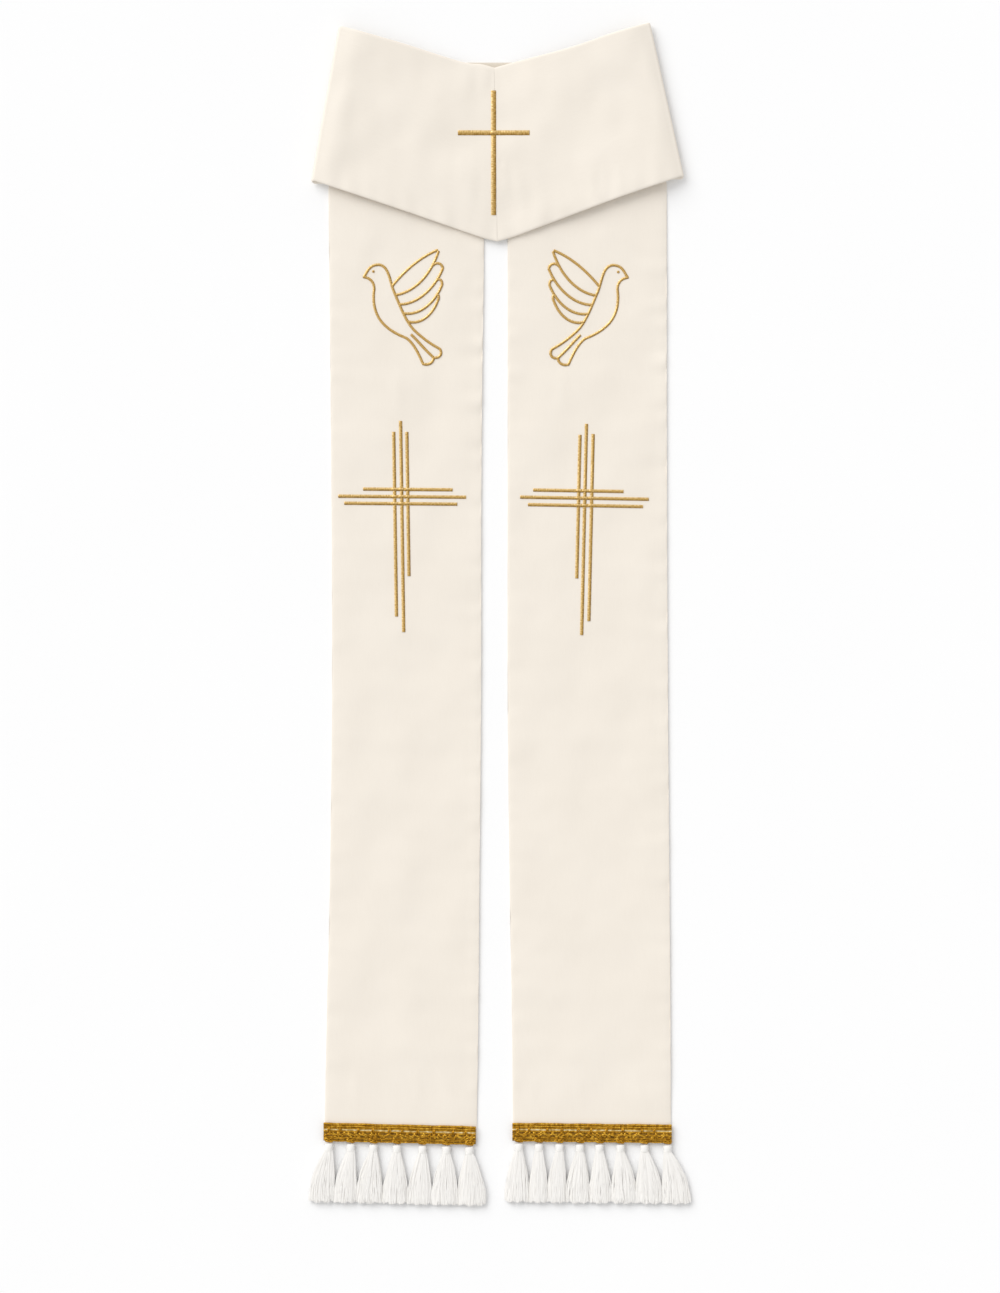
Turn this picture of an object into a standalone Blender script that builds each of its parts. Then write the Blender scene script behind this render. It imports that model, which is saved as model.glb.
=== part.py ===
"""Clerical stole laid flat, its neck folded over the tops of the two panels.

The stole lies on its underside in the XY plane, with the hems towards -Y, the neck
towards +Y and the thickness along +Z. Sizes and tables are in millimetres and become
metres when a mesh is made. The origin is the middle of the stole on that plane.
"""

import math

import bmesh
import bpy
import numpy as np
from mathutils import Vector
from mathutils.bvhtree import BVHTree

MM = 0.001

# Driving dimensions
CLOTH = 2.6
SEAM_GAP = 0.3
SURFACE_GAP = 0.3
HEM_Y = -523.0
PANEL_RINGS = 17
FAN_RINGS = 6
PANEL_COLUMNS = 10
NECK_COLUMNS = 11
EDGE_ROUND = 1.1
EDGE_SLOPE = 5.0
PANEL_EDGE_DROP = 0.6
NECK_EDGE_DROP = 0.35
END_ROUND = 0.5
SHARP_ANGLE = 40.0
CURVE_STEPS = 25

# The panels' shallow swells: height, where they fade out under the neck and at the hem,
# and the lengths of the two waves along and across
WAVE = 0.2
WAVE_TOP = 230.0
WAVE_TOP_FADE = 120.0
WAVE_FOOT = 40.0
WAVE_FOOT_FADE = 80.0
WAVE_LENGTHS = (47.0, 61.0, 83.0, 45.0)

# The neck folds: the hidden diagonal fold turns tightly, the outer one is a soft roll
MIDDLE_UNDER = 3.0
DIAGONAL_STEPS = 5
ROLL_STEPS = 7
ROLL_STRETCH = 1.2
ROLL_SKEW = 2.5
MIDDLE_RINGS = 4
SEAM_BACK = 4.0

# Embroidery, braid and tassels
STITCH_HEIGHT = 1.0
PANEL_BAR = 3.4
NECK_BAR = 5.0
DOVE_STROKE = 2.7
DOVE_TIP = 0.7
STROKE_STEP_UP = 0.015
BRAID_WIDTH = 15.5
FOOT_LENGTH = 5.0
FOOT_HALF_WIDTH = 4.6
FOOT_SIDE = 0.8
FOOT_HEIGHT = 1.2
EDGE_BETWEEN_FEET = 0.25
TASSEL_HEAD = 8.5
TASSEL_MIDDLE_HEIGHT = 4.0
TASSEL_LENGTH = 59.6
LOCKS_ACROSS = 5
LOCK_LIFT = 0.4
LAYER_RISE = 2.9
LAYER_STAGGER = 0.1
SKIRT_FLARE = 0.35
HEAD_ROUNDING = 0.55
LOCK_WANDER = 0.04
LOCK_WANDER_TURN = 2.3
LOCK_UNEVEN = 1.6
LOCK_UNEVEN_TURNS = (1.3, 2.1)

# Each panel's long edges from the hem up to where the neck covers it:
# x and y on the edge at the left, x and y on the edge at the right
PANEL_EDGES = {
    "left": (
        (-176.0, -523.0, -23.8, -523.0),
        (-173.3, -385.0, -22.0, -385.0),
        (-170.8, -285.0, -21.2, -285.0),
        (-168.5, -85.0, -19.4, -85.0),
        (-169.2, 150.0, -19.0, 150.0),
        (-172.0, 425.0, -16.4, 376.0),
    ),
    "right": (
        (12.6, -523.0, 170.5, -523.0),
        (11.2, -385.0, 169.8, -385.0),
        (9.4, -285.0, 169.0, -285.0),
        (7.2, -85.0, 167.4, -85.0),
        (7.2, 150.0, 166.3, 150.0),
        (7.2, 376.0, 166.2, 430.0),
    ),
}

# The neck half that shows: x, y along its upper and lower edges, from the fold to the centre
NECK_UPPER = {
    "left": ((-158.2, 587.6), (-100.5, 571.4), (-40.5, 552.8), (-18.5, 549.9), (-6.4, 546.6)),
    "right": ((146.2, 590.8), (109.5, 580.2), (69.5, 566.6), (16.0, 552.6), (-6.1, 546.6)),
}
NECK_LOWER = {
    "left": ((-185.4, 432.8), (-100.5, 404.6), (-24.0, 378.3), (-3.2, 372.6)),
    "right": ((180.2, 437.2), (124.5, 418.6), (74.5, 400.1), (19.0, 379.4), (-2.9, 372.6)),
}

# The hidden diagonal fold of each half: its upper and its lower end
DIAGONAL = {
    "left": ((-148.5, 577.5), (-27.0, 435.0)),
    "right": ((137.5, 580.5), (16.5, 437.0)),
}

# Under side of the neck half that shows: share of the way from the fold to the centre,
# then the height at the upper edge, half way down and at the lower edge
NECK_HEIGHTS = {
    "left": (
        (0.000, 6.4, 7.4, 7.6),
        (0.035, 7.5, 8.5, 8.7),
        (0.080, 8.8, 9.3, 9.5),
        (0.160, 9.2, 8.8, 8.9),
        (0.280, 8.7, 8.1, 8.1),
        (0.400, 8.0, 7.5, 7.5),
        (0.520, 7.1, 7.0, 6.9),
        (0.640, 6.0, 6.6, 6.1),
        (0.760, 4.4, 6.3, 5.2),
        (0.880, 2.6, 6.0, 4.4),
        (1.000, 1.7, 5.7, 4.0),
    ),
    "right": (
        (0.000, 6.3, 6.4, 6.5),
        (0.020, 7.1, 7.5, 7.8),
        (0.050, 7.9, 8.5, 9.3),
        (0.090, 8.3, 8.9, 10.4),
        (0.160, 8.6, 8.9, 10.8),
        (0.280, 8.6, 8.5, 10.2),
        (0.400, 8.4, 8.0, 9.1),
        (0.520, 7.9, 7.5, 7.8),
        (0.640, 6.9, 7.0, 6.4),
        (0.760, 5.1, 6.6, 5.3),
        (0.880, 2.7, 6.1, 4.4),
        (1.000, 1.7, 5.7, 4.0),
    ),
}

# Lining behind the notch: y, x of both ends
LINING_ROWS = (
    (551.9, -46.0, 14.0),
    (538.0, -38.0, 12.0),
    (522.0, -30.0, 8.0),
)
LINING_THICKNESS = 1.2
LINING_COLUMNS = 5

# Crosses: bars as middle of the bar, start and end; lean and slope as rise per millimetre
CROSSES = {
    "left_cross": {
        "centre": (-98.4, 117.0),
        "lean": -0.015,
        "slope": -0.0085,
        "width": PANEL_BAR,
        "upright": ((-7.4, -119.0, 65.5), (-0.4, -134.5, 76.5), (5.7, -78.5, 65.5)),
        "across": ((8.1, -38.8, 50.6), (0.8, -63.8, 64.0), (-6.2, -57.9, 55.0)),
    },
    "right_cross": {
        "centre": (84.2, 115.5),
        "lean": 0.023,
        "slope": -0.017,
        "width": PANEL_BAR,
        "upright": ((-6.2, -79.5, 64.0), (0.0, -136.0, 75.0), (6.9, -122.0, 65.0)),
        "across": ((8.1, -51.7, 38.6), (0.8, -64.5, 63.9), (-6.6, -56.6, 58.4)),
    },
    "neck_cross": {
        "centre": (-6.9, 481.1),
        "lean": 0.0,
        "slope": 0.0,
        "width": NECK_BAR,
        "upright": ((0.0, -82.1, 42.4),),
        "across": ((0.0, -35.6, 35.9),),
    },
}
BAR_PIECE = 20.0
PROBE = 2.5
PROBE_START = 100.0

# Dove strokes, from the bird's middle: name, steps, then start, two handles and end of a curve
DOVE_STROKES = (
    ("throat", 4, (-41.0, 31.0), (-33.0, 30.0), (-29.0, 25.0), (-30.0, 16.5)),
    ("breast", 7, (-30.0, 17.5), (-33.0, -10.0), (-18.0, -22.0), (2.0, -30.0)),
    ("lower tail edge", 5, (1.2, -29.6), (8.0, -33.0), (14.0, -44.0), (19.0, -56.0)),
    ("crown", 5, (-40.4, 30.8), (-37.0, 34.0), (-36.0, 43.0), (-25.5, 43.2)),
    ("nape", 6, (-26.5, 43.3), (-14.0, 43.0), (-15.0, 26.0), (-9.0, 14.0)),
    ("back", 6, (-9.5, 15.0), (-4.0, 2.0), (2.0, -14.0), (10.0, -22.0)),
    ("upper tail edge", 5, (9.4, -21.5), (16.0, -28.0), (26.0, -36.0), (36.0, -41.0)),
    ("wing front", 6, (-12.0, 21.5), (-2.0, 34.0), (14.0, 50.0), (34.0, 58.0)),
    ("first feather", 7, (-8.6, 12.9), (8.0, 15.0), (26.0, 30.0), (34.6, 57.0)),
    ("second feather", 7, (-4.7, 3.6), (11.0, 3.0), (30.0, 17.0), (39.0, 40.0)),
    ("second tip", 3, (28.6, 42.0), (31.0, 45.5), (37.5, 46.0), (38.9, 39.4)),
    ("third feather", 7, (-0.7, -5.4), (14.0, -8.0), (30.0, 3.0), (38.0, 23.0)),
    ("third tip", 3, (32.2, 27.0), (34.5, 30.0), (38.5, 28.5), (38.0, 22.4)),
    ("fourth feather", 6, (3.7, -13.6), (15.0, -17.0), (28.0, -9.0), (34.0, 8.0)),
    ("fourth tip", 3, (31.9, 11.8), (33.5, 14.5), (35.5, 12.5), (34.0, 7.4)),
    ("tail feather", 5, (7.0, -26.5), (13.0, -32.0), (20.0, -41.0), (30.0, -50.0)),
    ("upper tail tip", 3, (35.4, -40.6), (39.0, -45.0), (36.0, -51.0), (29.4, -49.6)),
    ("lower tail tip", 3, (29.6, -49.4), (29.5, -55.0), (24.0, -58.0), (18.4, -55.7)),
)
DOVE_MIDDLES = {"left_dove": (-96.5, 306.5), "right_dove": (87.0, 306.0)}

# Braids: x of both ends, y of the upper edge at both ends
BRAIDS = {
    "left": ((-177.5, -24.0), (-507.6, -511.4)),
    "right": ((11.2, 171.8), (-507.8, -509.6)),
}

# Across the braid from its upper edge: share of its width and height over its back
BRAID_PROFILE = (
    (0.00, 0.9),
    (0.10, 2.3),
    (0.28, 2.4),
    (0.40, 1.0),
    (0.50, 1.0),
    (0.62, 2.3),
    (0.84, 2.4),
    (1.00, 1.2),
)

# Tassels: x of the head, x of the skirt's two bottom corners
TASSELS = {
    "left": (
        (-171.5, -191.0, -166.2),
        (-149.5, -166.4, -144.9),
        (-127.0, -143.9, -118.4),
        (-103.5, -117.4, -93.6),
        (-78.0, -92.4, -69.8),
        (-54.0, -68.8, -43.6),
        (-31.0, -42.4, -16.0),
    ),
    "right": (
        (18.5, 5.5, 27.8),
        (38.5, 29.0, 46.6),
        (59.0, 47.6, 65.0),
        (79.5, 66.0, 88.6),
        (99.0, 89.8, 110.0),
        (120.0, 111.2, 135.4),
        (144.0, 136.4, 161.6),
        (167.0, 162.6, 189.0),
    ),
}

# Down a tassel's head: depth below its top, half width, half height
TASSEL_HEAD_SECTIONS = (
    (0.0, 2.6, 1.6),
    (1.6, 4.6, 3.1),
    (4.6, 4.8, 3.3),
    (7.0, 4.0, 2.9),
    (TASSEL_HEAD, 4.6, 3.1),
)

# Down a lock: share of the way, half width as a share of the space it has, low and high side
LOCK_SECTIONS = (
    (0.5, 0.36, 0.2, 2.7),
    (1.0, 0.39, 0.0, 1.9),
)

CLOTH_COLOUR = (0.86, 0.80, 0.70)
LINING_COLOUR = (0.74, 0.68, 0.58)
STITCH_COLOUR = (0.45, 0.26, 0.06)
BRAID_COLOUR = (0.42, 0.23, 0.03)
YARN_COLOUR = (0.86, 0.84, 0.80)


def clear_scene():
    for old in list(bpy.data.objects):
        bpy.data.objects.remove(old, do_unlink=True)


def finish_material(name, colour, roughness, metallic):
    material = bpy.data.materials.new(name)
    material.use_nodes = True
    shader = material.node_tree.nodes["Principled BSDF"]
    shader.inputs["Base Color"].default_value = (*colour, 1.0)
    shader.inputs["Roughness"].default_value = roughness
    shader.inputs["Metallic"].default_value = metallic
    return material


def add_object(name, points, faces, material):
    """One closed solid from points in millimetres, its faces turned outwards."""
    mesh = bpy.data.meshes.new(name)
    mesh.from_pydata((np.asarray(points) * MM).tolist(), [], [list(face) for face in faces])
    shape = bmesh.new()
    shape.from_mesh(mesh)
    bmesh.ops.recalc_face_normals(shape, faces=shape.faces)
    shape.to_mesh(mesh)
    shape.free()
    mesh.materials.append(material)
    mesh.shade_smooth()
    mesh.set_sharp_from_angle(angle=math.radians(SHARP_ANGLE))
    made = bpy.data.objects.new(name, mesh)
    bpy.context.scene.collection.objects.link(made)
    return made


def smooth_line(points, shares):
    """Points at the given shares of length along a smooth curve through a few points.

    Each span is a cubic whose end slopes are half the step between the points beside it.
    """
    knots = np.array(points, float)
    ends = np.vstack([2 * knots[0] - knots[1], knots, 2 * knots[-1] - knots[-2]])
    slopes = (ends[2:] - ends[:-2]) / 2
    t = np.linspace(0, 1, CURVE_STEPS)[:, None]
    spans = []
    for i in range(len(knots) - 1):
        spans.append(
            (2 * t**3 - 3 * t**2 + 1) * knots[i]
            + (t**3 - 2 * t**2 + t) * slopes[i]
            + (3 * t**2 - 2 * t**3) * knots[i + 1]
            + (t**3 - t**2) * slopes[i + 1]
        )
    curve = np.vstack(spans)
    lengths = np.concatenate([[0], np.cumsum(np.linalg.norm(np.diff(curve, axis=0), axis=1))])
    wanted = np.asarray(shares) * lengths[-1]
    return np.column_stack([np.interp(wanted, lengths, column) for column in curve.T])


def surface_normals(grid):
    along = np.gradient(grid, axis=0)
    across = np.gradient(grid, axis=1)
    normals = np.cross(along, across)
    return normals / np.linalg.norm(normals, axis=2, keepdims=True)


def wall_from_sheets(upper, lower, edge_near, edge_far):
    """Points and faces of a closed wall between two grids of equal size.

    Each section is a loop: the upper row, the far edge, the lower row, the near edge.
    """
    rows, columns = upper.shape[:2]
    sections = np.concatenate(
        [upper, edge_far[:, None], lower[:, ::-1], edge_near[:, None]], axis=1
    )
    around = sections.shape[1]
    faces = []
    for row in range(rows - 1):
        for place in range(around):
            after = (place + 1) % around
            faces.append(
                (
                    row * around + place,
                    row * around + after,
                    (row + 1) * around + after,
                    (row + 1) * around + place,
                )
            )
    for row in (0, rows - 1):
        start = row * around
        for place in range(columns - 1):
            under = around - 2 - place
            faces.append((start + place, start + place + 1, start + under - 1, start + under))
        faces.append((start + columns - 1, start + columns, start + columns + 1))
        faces.append((start + around - 1, start, start + around - 2))
    return sections.reshape(-1, 3), faces


def edge_shares(columns, width):
    """Shares across a band: close together at both rounded edges, even between them."""
    rim = np.array([EDGE_ROUND, EDGE_SLOPE]) / width
    inner = np.linspace(rim[1], 1 - rim[1], columns - 2)
    return np.concatenate([[rim[0]], inner, [1 - rim[0]]])


def wave_height(x, y):
    """Very shallow swells of the panels, which fade out under the neck and at the hem."""
    fade = np.clip((WAVE_TOP - y) / WAVE_TOP_FADE, 0, 1)
    fade = fade * np.clip((y - HEM_Y - WAVE_FOOT) / WAVE_FOOT_FADE, 0, 1)
    first_y, first_x, second_y, second_x = WAVE_LENGTHS
    first = np.sin(y / first_y + x / first_x)
    second = np.cos(y / second_y - x / second_x)
    return WAVE * fade * first * second


def diagonal_frame(side):
    """The diagonal fold's ends and the level direction in which the fold bulges."""
    upper, lower = (np.array(end) for end in DIAGONAL[side])
    run = (lower - upper) / np.linalg.norm(lower - upper)
    bulge = np.array([-run[1], run[0]])
    if bulge[1] < 0:
        bulge = -bulge
    return upper, lower, bulge


def make_panel(side, material):
    """A long front: straight sections from the hem, which turn to the diagonal seam."""
    rows = np.array(PANEL_EDGES[side])
    straight = np.linspace(0, 1, PANEL_RINGS)
    left_edge = smooth_line(rows[:, :2], straight)
    right_edge = smooth_line(rows[:, 2:], straight)
    upper, lower, bulge = diagonal_frame(side)
    seam_shift = bulge * (SEAM_BACK + SEAM_GAP / 2)
    seam_left, seam_right = (upper, lower) if side == "left" else (lower, upper)
    turn = np.linspace(0, 1, FAN_RINGS + 1)[1:, None]
    left_fan = left_edge[-1] + (seam_left - seam_shift - left_edge[-1]) * turn
    right_fan = right_edge[-1] + (seam_right - seam_shift - right_edge[-1]) * turn
    near = np.vstack([left_edge, left_fan])
    far = np.vstack([right_edge, right_fan])
    width = np.linalg.norm(far - near, axis=1).mean()
    shares = edge_shares(PANEL_COLUMNS, width)[None, :, None]
    plan = near[:, None] * (1 - shares) + far[:, None] * shares
    top = CLOTH + wave_height(plan[..., 0], plan[..., 1])
    top[:, [0, -1]] -= PANEL_EDGE_DROP
    foot = np.zeros_like(top)
    edge_height = np.full(len(near), CLOTH / 2)
    points, faces = wall_from_sheets(
        np.dstack([plan, top]),
        np.dstack([plan, foot]),
        np.column_stack([near, edge_height]),
        np.column_stack([far, edge_height]),
    )
    return add_object(f"{side}_panel", points, faces, material)


def neck_under_heights(side, shares_along, shares_down):
    """Height of the shown half's under side: smooth along it, a parabola down each section."""
    table = np.array(NECK_HEIGHTS[side])
    upper, middle, lower = (np.interp(shares_along, table[:, 0], table[:, i]) for i in (1, 2, 3))
    v = shares_down[None, :]
    bend = 2 * (upper + lower - 2 * middle)[:, None]
    slope = (4 * middle - lower - 3 * upper)[:, None]
    return upper[:, None] + slope * v + bend * v**2


def neck_middle_surface(side):
    """The half's middle surface, one section a row, from the shoulder seam to the centre."""
    half = CLOTH / 2
    upper, lower, bulge = diagonal_frame(side)
    width = np.linalg.norm(lower - upper)
    v = edge_shares(NECK_COLUMNS, width)
    down = v[:, None]

    def level_row(near, far, height):
        plan = near + (far - near) * down
        return np.column_stack([plan, np.broadcast_to(height, len(plan))])

    middle_height = MIDDLE_UNDER + half
    turn_radius = (middle_height - half) / 2
    turn_height = half + turn_radius
    rows = [level_row(upper - bulge * SEAM_BACK, lower - bulge * SEAM_BACK, half)]
    for angle in np.linspace(-math.pi / 2, math.pi / 2, DIAGONAL_STEPS + 1):
        out = bulge * turn_radius * math.cos(angle)
        height = turn_height + turn_radius * math.sin(angle)
        rows.append(level_row(upper + out, lower + out, height))

    along = np.array([row[0] for row in NECK_HEIGHTS[side]])
    shown_near = smooth_line(NECK_UPPER[side], along)
    shown_far = smooth_line(NECK_LOWER[side], along)
    roll_near = shown_near[0]
    roll_far = shown_far[0] - np.array([0.0, ROLL_SKEW])
    for share in np.linspace(0, 1, MIDDLE_RINGS + 2)[1:]:
        near = upper + (roll_near - upper) * share
        far = lower + (roll_far - lower) * share
        rows.append(level_row(near, far, middle_height))

    shown_heights = neck_under_heights(side, along, v) + half
    fold = (shown_far[0] - shown_near[0]) / np.linalg.norm(shown_far[0] - shown_near[0])
    outward = np.array([-fold[1], fold[0]])
    if outward[0] * roll_near[0] < 0:
        outward = -outward
    rise = (shown_heights[0] - middle_height) / 2
    for angle in np.linspace(-math.pi / 2, math.pi / 2, ROLL_STEPS + 1)[1:-1]:
        share = (math.sin(angle) + 1) / 2
        far = roll_far + (shown_far[0] - roll_far) * share
        row = level_row(roll_near, far, middle_height + rise * (1 + math.sin(angle)))
        row[:, :2] += outward * (ROLL_STRETCH * rise * math.cos(angle))[:, None]
        rows.append(row)
    for place in range(len(along)):
        rows.append(level_row(shown_near[place], shown_far[place], shown_heights[place]))
    rows[-1][:, 0] += SEAM_GAP / 2 if side == "right" else -SEAM_GAP / 2
    return np.array(rows)


def make_neck(side, material):
    """Half of the neck: seam, tight diagonal fold, hidden layer, soft roll, shown layer."""
    surface = neck_middle_surface(side)
    normals = surface_normals(surface)
    half = CLOTH / 2
    reach = surface[:, -1] - surface[:, 0]
    reach = reach / np.linalg.norm(reach, axis=1, keepdims=True)
    upper = surface + normals * half
    lower = surface - normals * half
    for sheet, turned in ((upper, -1), (lower, 1)):
        for column in (0, -1):
            sheet[:, column] += normals[:, column] * NECK_EDGE_DROP * turned
    points, faces = wall_from_sheets(
        upper,
        lower,
        surface[:, 0] - reach * EDGE_ROUND,
        surface[:, -1] + reach * EDGE_ROUND,
    )
    points[:, 2] = np.maximum(points[:, 2], 0.0)
    return add_object(f"{side}_neck", points, faces, material)


def make_lining(material):
    """The flat strip of lining that shows behind the notch."""
    rows = np.array(LINING_ROWS)
    shares = np.linspace(0, 1, LINING_COLUMNS)[None, :]
    x = rows[:, 1, None] * (1 - shares) + rows[:, 2, None] * shares
    y = np.repeat(rows[:, 0, None], LINING_COLUMNS, axis=1)
    top = np.dstack([x, y, np.full_like(x, LINING_THICKNESS)])
    under = np.dstack([x, y, np.zeros_like(x)])
    edge = np.full(len(rows), LINING_THICKNESS / 2)
    near = np.column_stack([rows[:, 1] - END_ROUND, rows[:, 0], edge])
    far = np.column_stack([rows[:, 2] + END_ROUND, rows[:, 0], edge])
    points, faces = wall_from_sheets(top, under, near, far)
    return add_object("neck_lining", points, faces, material)


def cloth_tree(carriers):
    """Search tree of the outer faces of the pieces that carry embroidery."""
    points = []
    polygons = []
    for carrier in carriers:
        first = len(points)
        points += [vertex.co.copy() for vertex in carrier.data.vertices]
        polygons += [[first + i for i in face.vertices] for face in carrier.data.polygons]
    return BVHTree.FromPolygons(points, polygons)


def top_height(tree, x, y):
    """Highest point of the cloth's upper face close round a point, past any seam gap."""
    found = []
    for step_x in (-PROBE, 0.0, PROBE):
        for step_y in (-PROBE, 0.0, PROBE):
            start = Vector((x + step_x, y + step_y, PROBE_START)) * MM
            hit = tree.ray_cast(start, Vector((0, 0, -1)))[0]
            if hit is not None:
                found.append(hit.z / MM)
    return max(found)


def cut_marks(bars, width, ends):
    """Coordinates where bars begin, end or cross, with long stretches cut to short ones."""
    marks = set()
    for middle, _, _ in bars:
        marks |= {round(middle - width / 2, 3), round(middle + width / 2, 3)}
    for _, start, stop in ends:
        marks |= {round(start, 3), round(stop, 3)}
    ordered = sorted(marks)
    full = [ordered[0]]
    for mark in ordered[1:]:
        pieces = max(1, round((mark - full[-1]) / BAR_PIECE))
        full += list(np.linspace(full[-1], mark, pieces + 1)[1:])
    return np.array(full)


def make_cross(name, tree, material):
    """Crossing raised bars as one solid, filled cell by cell, following the cloth below."""
    plan = CROSSES[name]
    width = plan["width"]
    xs = cut_marks(plan["upright"], width, plan["across"])
    ys = cut_marks(plan["across"], width, plan["upright"])
    x_mid = (xs[1:] + xs[:-1]) / 2
    y_mid = (ys[1:] + ys[:-1]) / 2
    filled = np.zeros((len(x_mid), len(y_mid)), bool)
    for middle, start, stop in plan["upright"]:
        inside_x = np.abs(x_mid - middle) < width / 2
        inside_y = (y_mid > start) & (y_mid < stop)
        filled |= inside_x[:, None] & inside_y[None, :]
    for middle, start, stop in plan["across"]:
        inside_x = (x_mid > start) & (x_mid < stop)
        inside_y = np.abs(y_mid - middle) < width / 2
        filled |= inside_x[:, None] & inside_y[None, :]
    numbers = {}
    points = []
    faces = []

    def corner(i, j, level):
        if (i, j, level) not in numbers:
            numbers[i, j, level] = len(points)
            x = plan["centre"][0] + xs[i] + plan["lean"] * ys[j]
            y = plan["centre"][1] + ys[j] + plan["slope"] * xs[i]
            lift = SURFACE_GAP + level * STITCH_HEIGHT
            points.append((x, y, top_height(tree, x, y) + lift))
        return numbers[i, j, level]

    for i, j in np.argwhere(filled):
        around = ((i, j), (i + 1, j), (i + 1, j + 1), (i, j + 1))
        faces.append([corner(a, b, 1) for a, b in around])
        faces.append([corner(a, b, 0) for a, b in reversed(around)])
        beside = ((i, j - 1), (i + 1, j), (i, j + 1), (i - 1, j))
        for side in range(4):
            a, b = beside[side]
            within = 0 <= a < filled.shape[0] and 0 <= b < filled.shape[1]
            if within and filled[a, b]:
                continue
            first, second = around[side], around[(side + 1) % 4]
            foot = [corner(*first, 0), corner(*second, 0)]
            head = [corner(*second, 1), corner(*first, 1)]
            faces.append(foot + head)
    return add_object(name, points, faces, material)


def stroke_rings(steps, curve, mirror, middle, tree, level):
    """Four-cornered sections of a flat ribbon along a cubic curve, narrower at both ends."""
    start, handle_a, handle_b, stop = (np.array(point) for point in curve)
    t = np.linspace(0, 1, steps + 1)[:, None]
    line = (
        (1 - t) ** 3 * start
        + 3 * (1 - t) ** 2 * t * handle_a
        + 3 * (1 - t) * t**2 * handle_b
        + t**3 * stop
    )
    line[:, 0] *= mirror
    line += np.array(middle)
    run = np.gradient(line, axis=0)
    run /= np.linalg.norm(run, axis=1, keepdims=True)
    across = np.column_stack([-run[:, 1], run[:, 0]])
    taper = DOVE_TIP + (1 - DOVE_TIP) * np.sin(np.pi * t)
    near = line - across * DOVE_STROKE / 2 * taper
    far = line + across * DOVE_STROKE / 2 * taper
    under = np.array([top_height(tree, x, y) for x, y in line]) + SURFACE_GAP + level
    over = under + STITCH_HEIGHT
    return np.stack(
        [
            np.column_stack([near, under]),
            np.column_stack([far, under]),
            np.column_stack([far, over]),
            np.column_stack([near, over]),
        ],
        axis=1,
    )


def make_dove(name, tree, material):
    """Outline strokes of one bird, joined into one solid."""
    mirror = 1 if name.startswith("left") else -1
    strokes = []
    for place, (_, steps, *curve) in enumerate(DOVE_STROKES):
        level = STROKE_STEP_UP * place
        rings = stroke_rings(steps, curve, mirror, DOVE_MIDDLES[name], tree, level)
        count = len(rings)
        faces = [(0, 1, 2, 3), tuple(4 * (count - 1) + i for i in (3, 2, 1, 0))]
        for ring in range(count - 1):
            for i in range(4):
                here = 4 * ring
                after = here + (i + 1) % 4
                faces.append((here + i, after, after + 4, here + i + 4))
        label = name if place == 0 else f"{name}_stroke_{place}"
        strokes.append(add_object(label, rings.reshape(-1, 3), faces, material))
    whole = strokes[0]
    for stroke in strokes[1:]:
        union = whole.modifiers.new("join", "BOOLEAN")
        union.operation = "UNION"
        union.solver = "EXACT"
        union.object = stroke
        stroke.hide_render = True
        stroke.display_type = "WIRE"
    return whole


def braid_columns(side):
    """Places along the braid, with one on each side of every foot, and the foot's reach there."""
    (start, stop), _ = BRAIDS[side]
    marks = {start, stop}
    heads = [row[0] for row in TASSELS[side]]
    reach = FOOT_HALF_WIDTH + FOOT_SIDE
    for head in heads:
        for step in (-reach, -FOOT_HALF_WIDTH, FOOT_HALF_WIDTH, reach):
            marks.add(min(max(head + step, start), stop))
    xs = np.array(sorted(marks))
    nearest = np.abs(xs[:, None] - np.array(heads)).min(axis=1)
    at_foot = nearest < FOOT_HALF_WIDTH + FOOT_SIDE / 2
    foot = np.where(at_foot, 1.0, EDGE_BETWEEN_FEET)
    return xs, foot


def make_braid(side, material):
    """Flat braid over the hem: two raised cords, a groove between them, feet at the tassels."""
    ends_x, ends_y = BRAIDS[side]
    xs, foot = braid_columns(side)
    upper_y = np.interp(xs, ends_x, ends_y)
    back = CLOTH + SURFACE_GAP
    runs = [np.full_like(xs, share * BRAID_WIDTH) for share, _ in BRAID_PROFILE]
    runs.append(BRAID_WIDTH + FOOT_LENGTH * foot)
    heights = [height for _, height in BRAID_PROFILE] + [FOOT_HEIGHT]
    top = np.array(
        [
            np.column_stack([xs, upper_y - run, np.full_like(xs, back + height)])
            for run, height in zip(runs, heights)
        ]
    )
    under = top.copy()
    under[..., 2] = back
    near = (top[:, 0] + under[:, 0]) / 2 - np.array([END_ROUND, 0, 0])
    far = (top[:, -1] + under[:, -1]) / 2 + np.array([END_ROUND, 0, 0])
    points, faces = wall_from_sheets(top, under, near, far)
    return add_object(f"{side}_braid", points, faces, material)


def rim_places():
    """Corners of a grid of root squares, in order round its rim, as column and row."""
    bottom = [(i, 0) for i in range(LOCKS_ACROSS)]
    right = [(LOCKS_ACROSS, j) for j in range(2)]
    top = [(i, 2) for i in range(LOCKS_ACROSS, 0, -1)]
    left = [(0, j) for j in range(2, 0, -1)]
    return bottom + right + top + left


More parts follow.
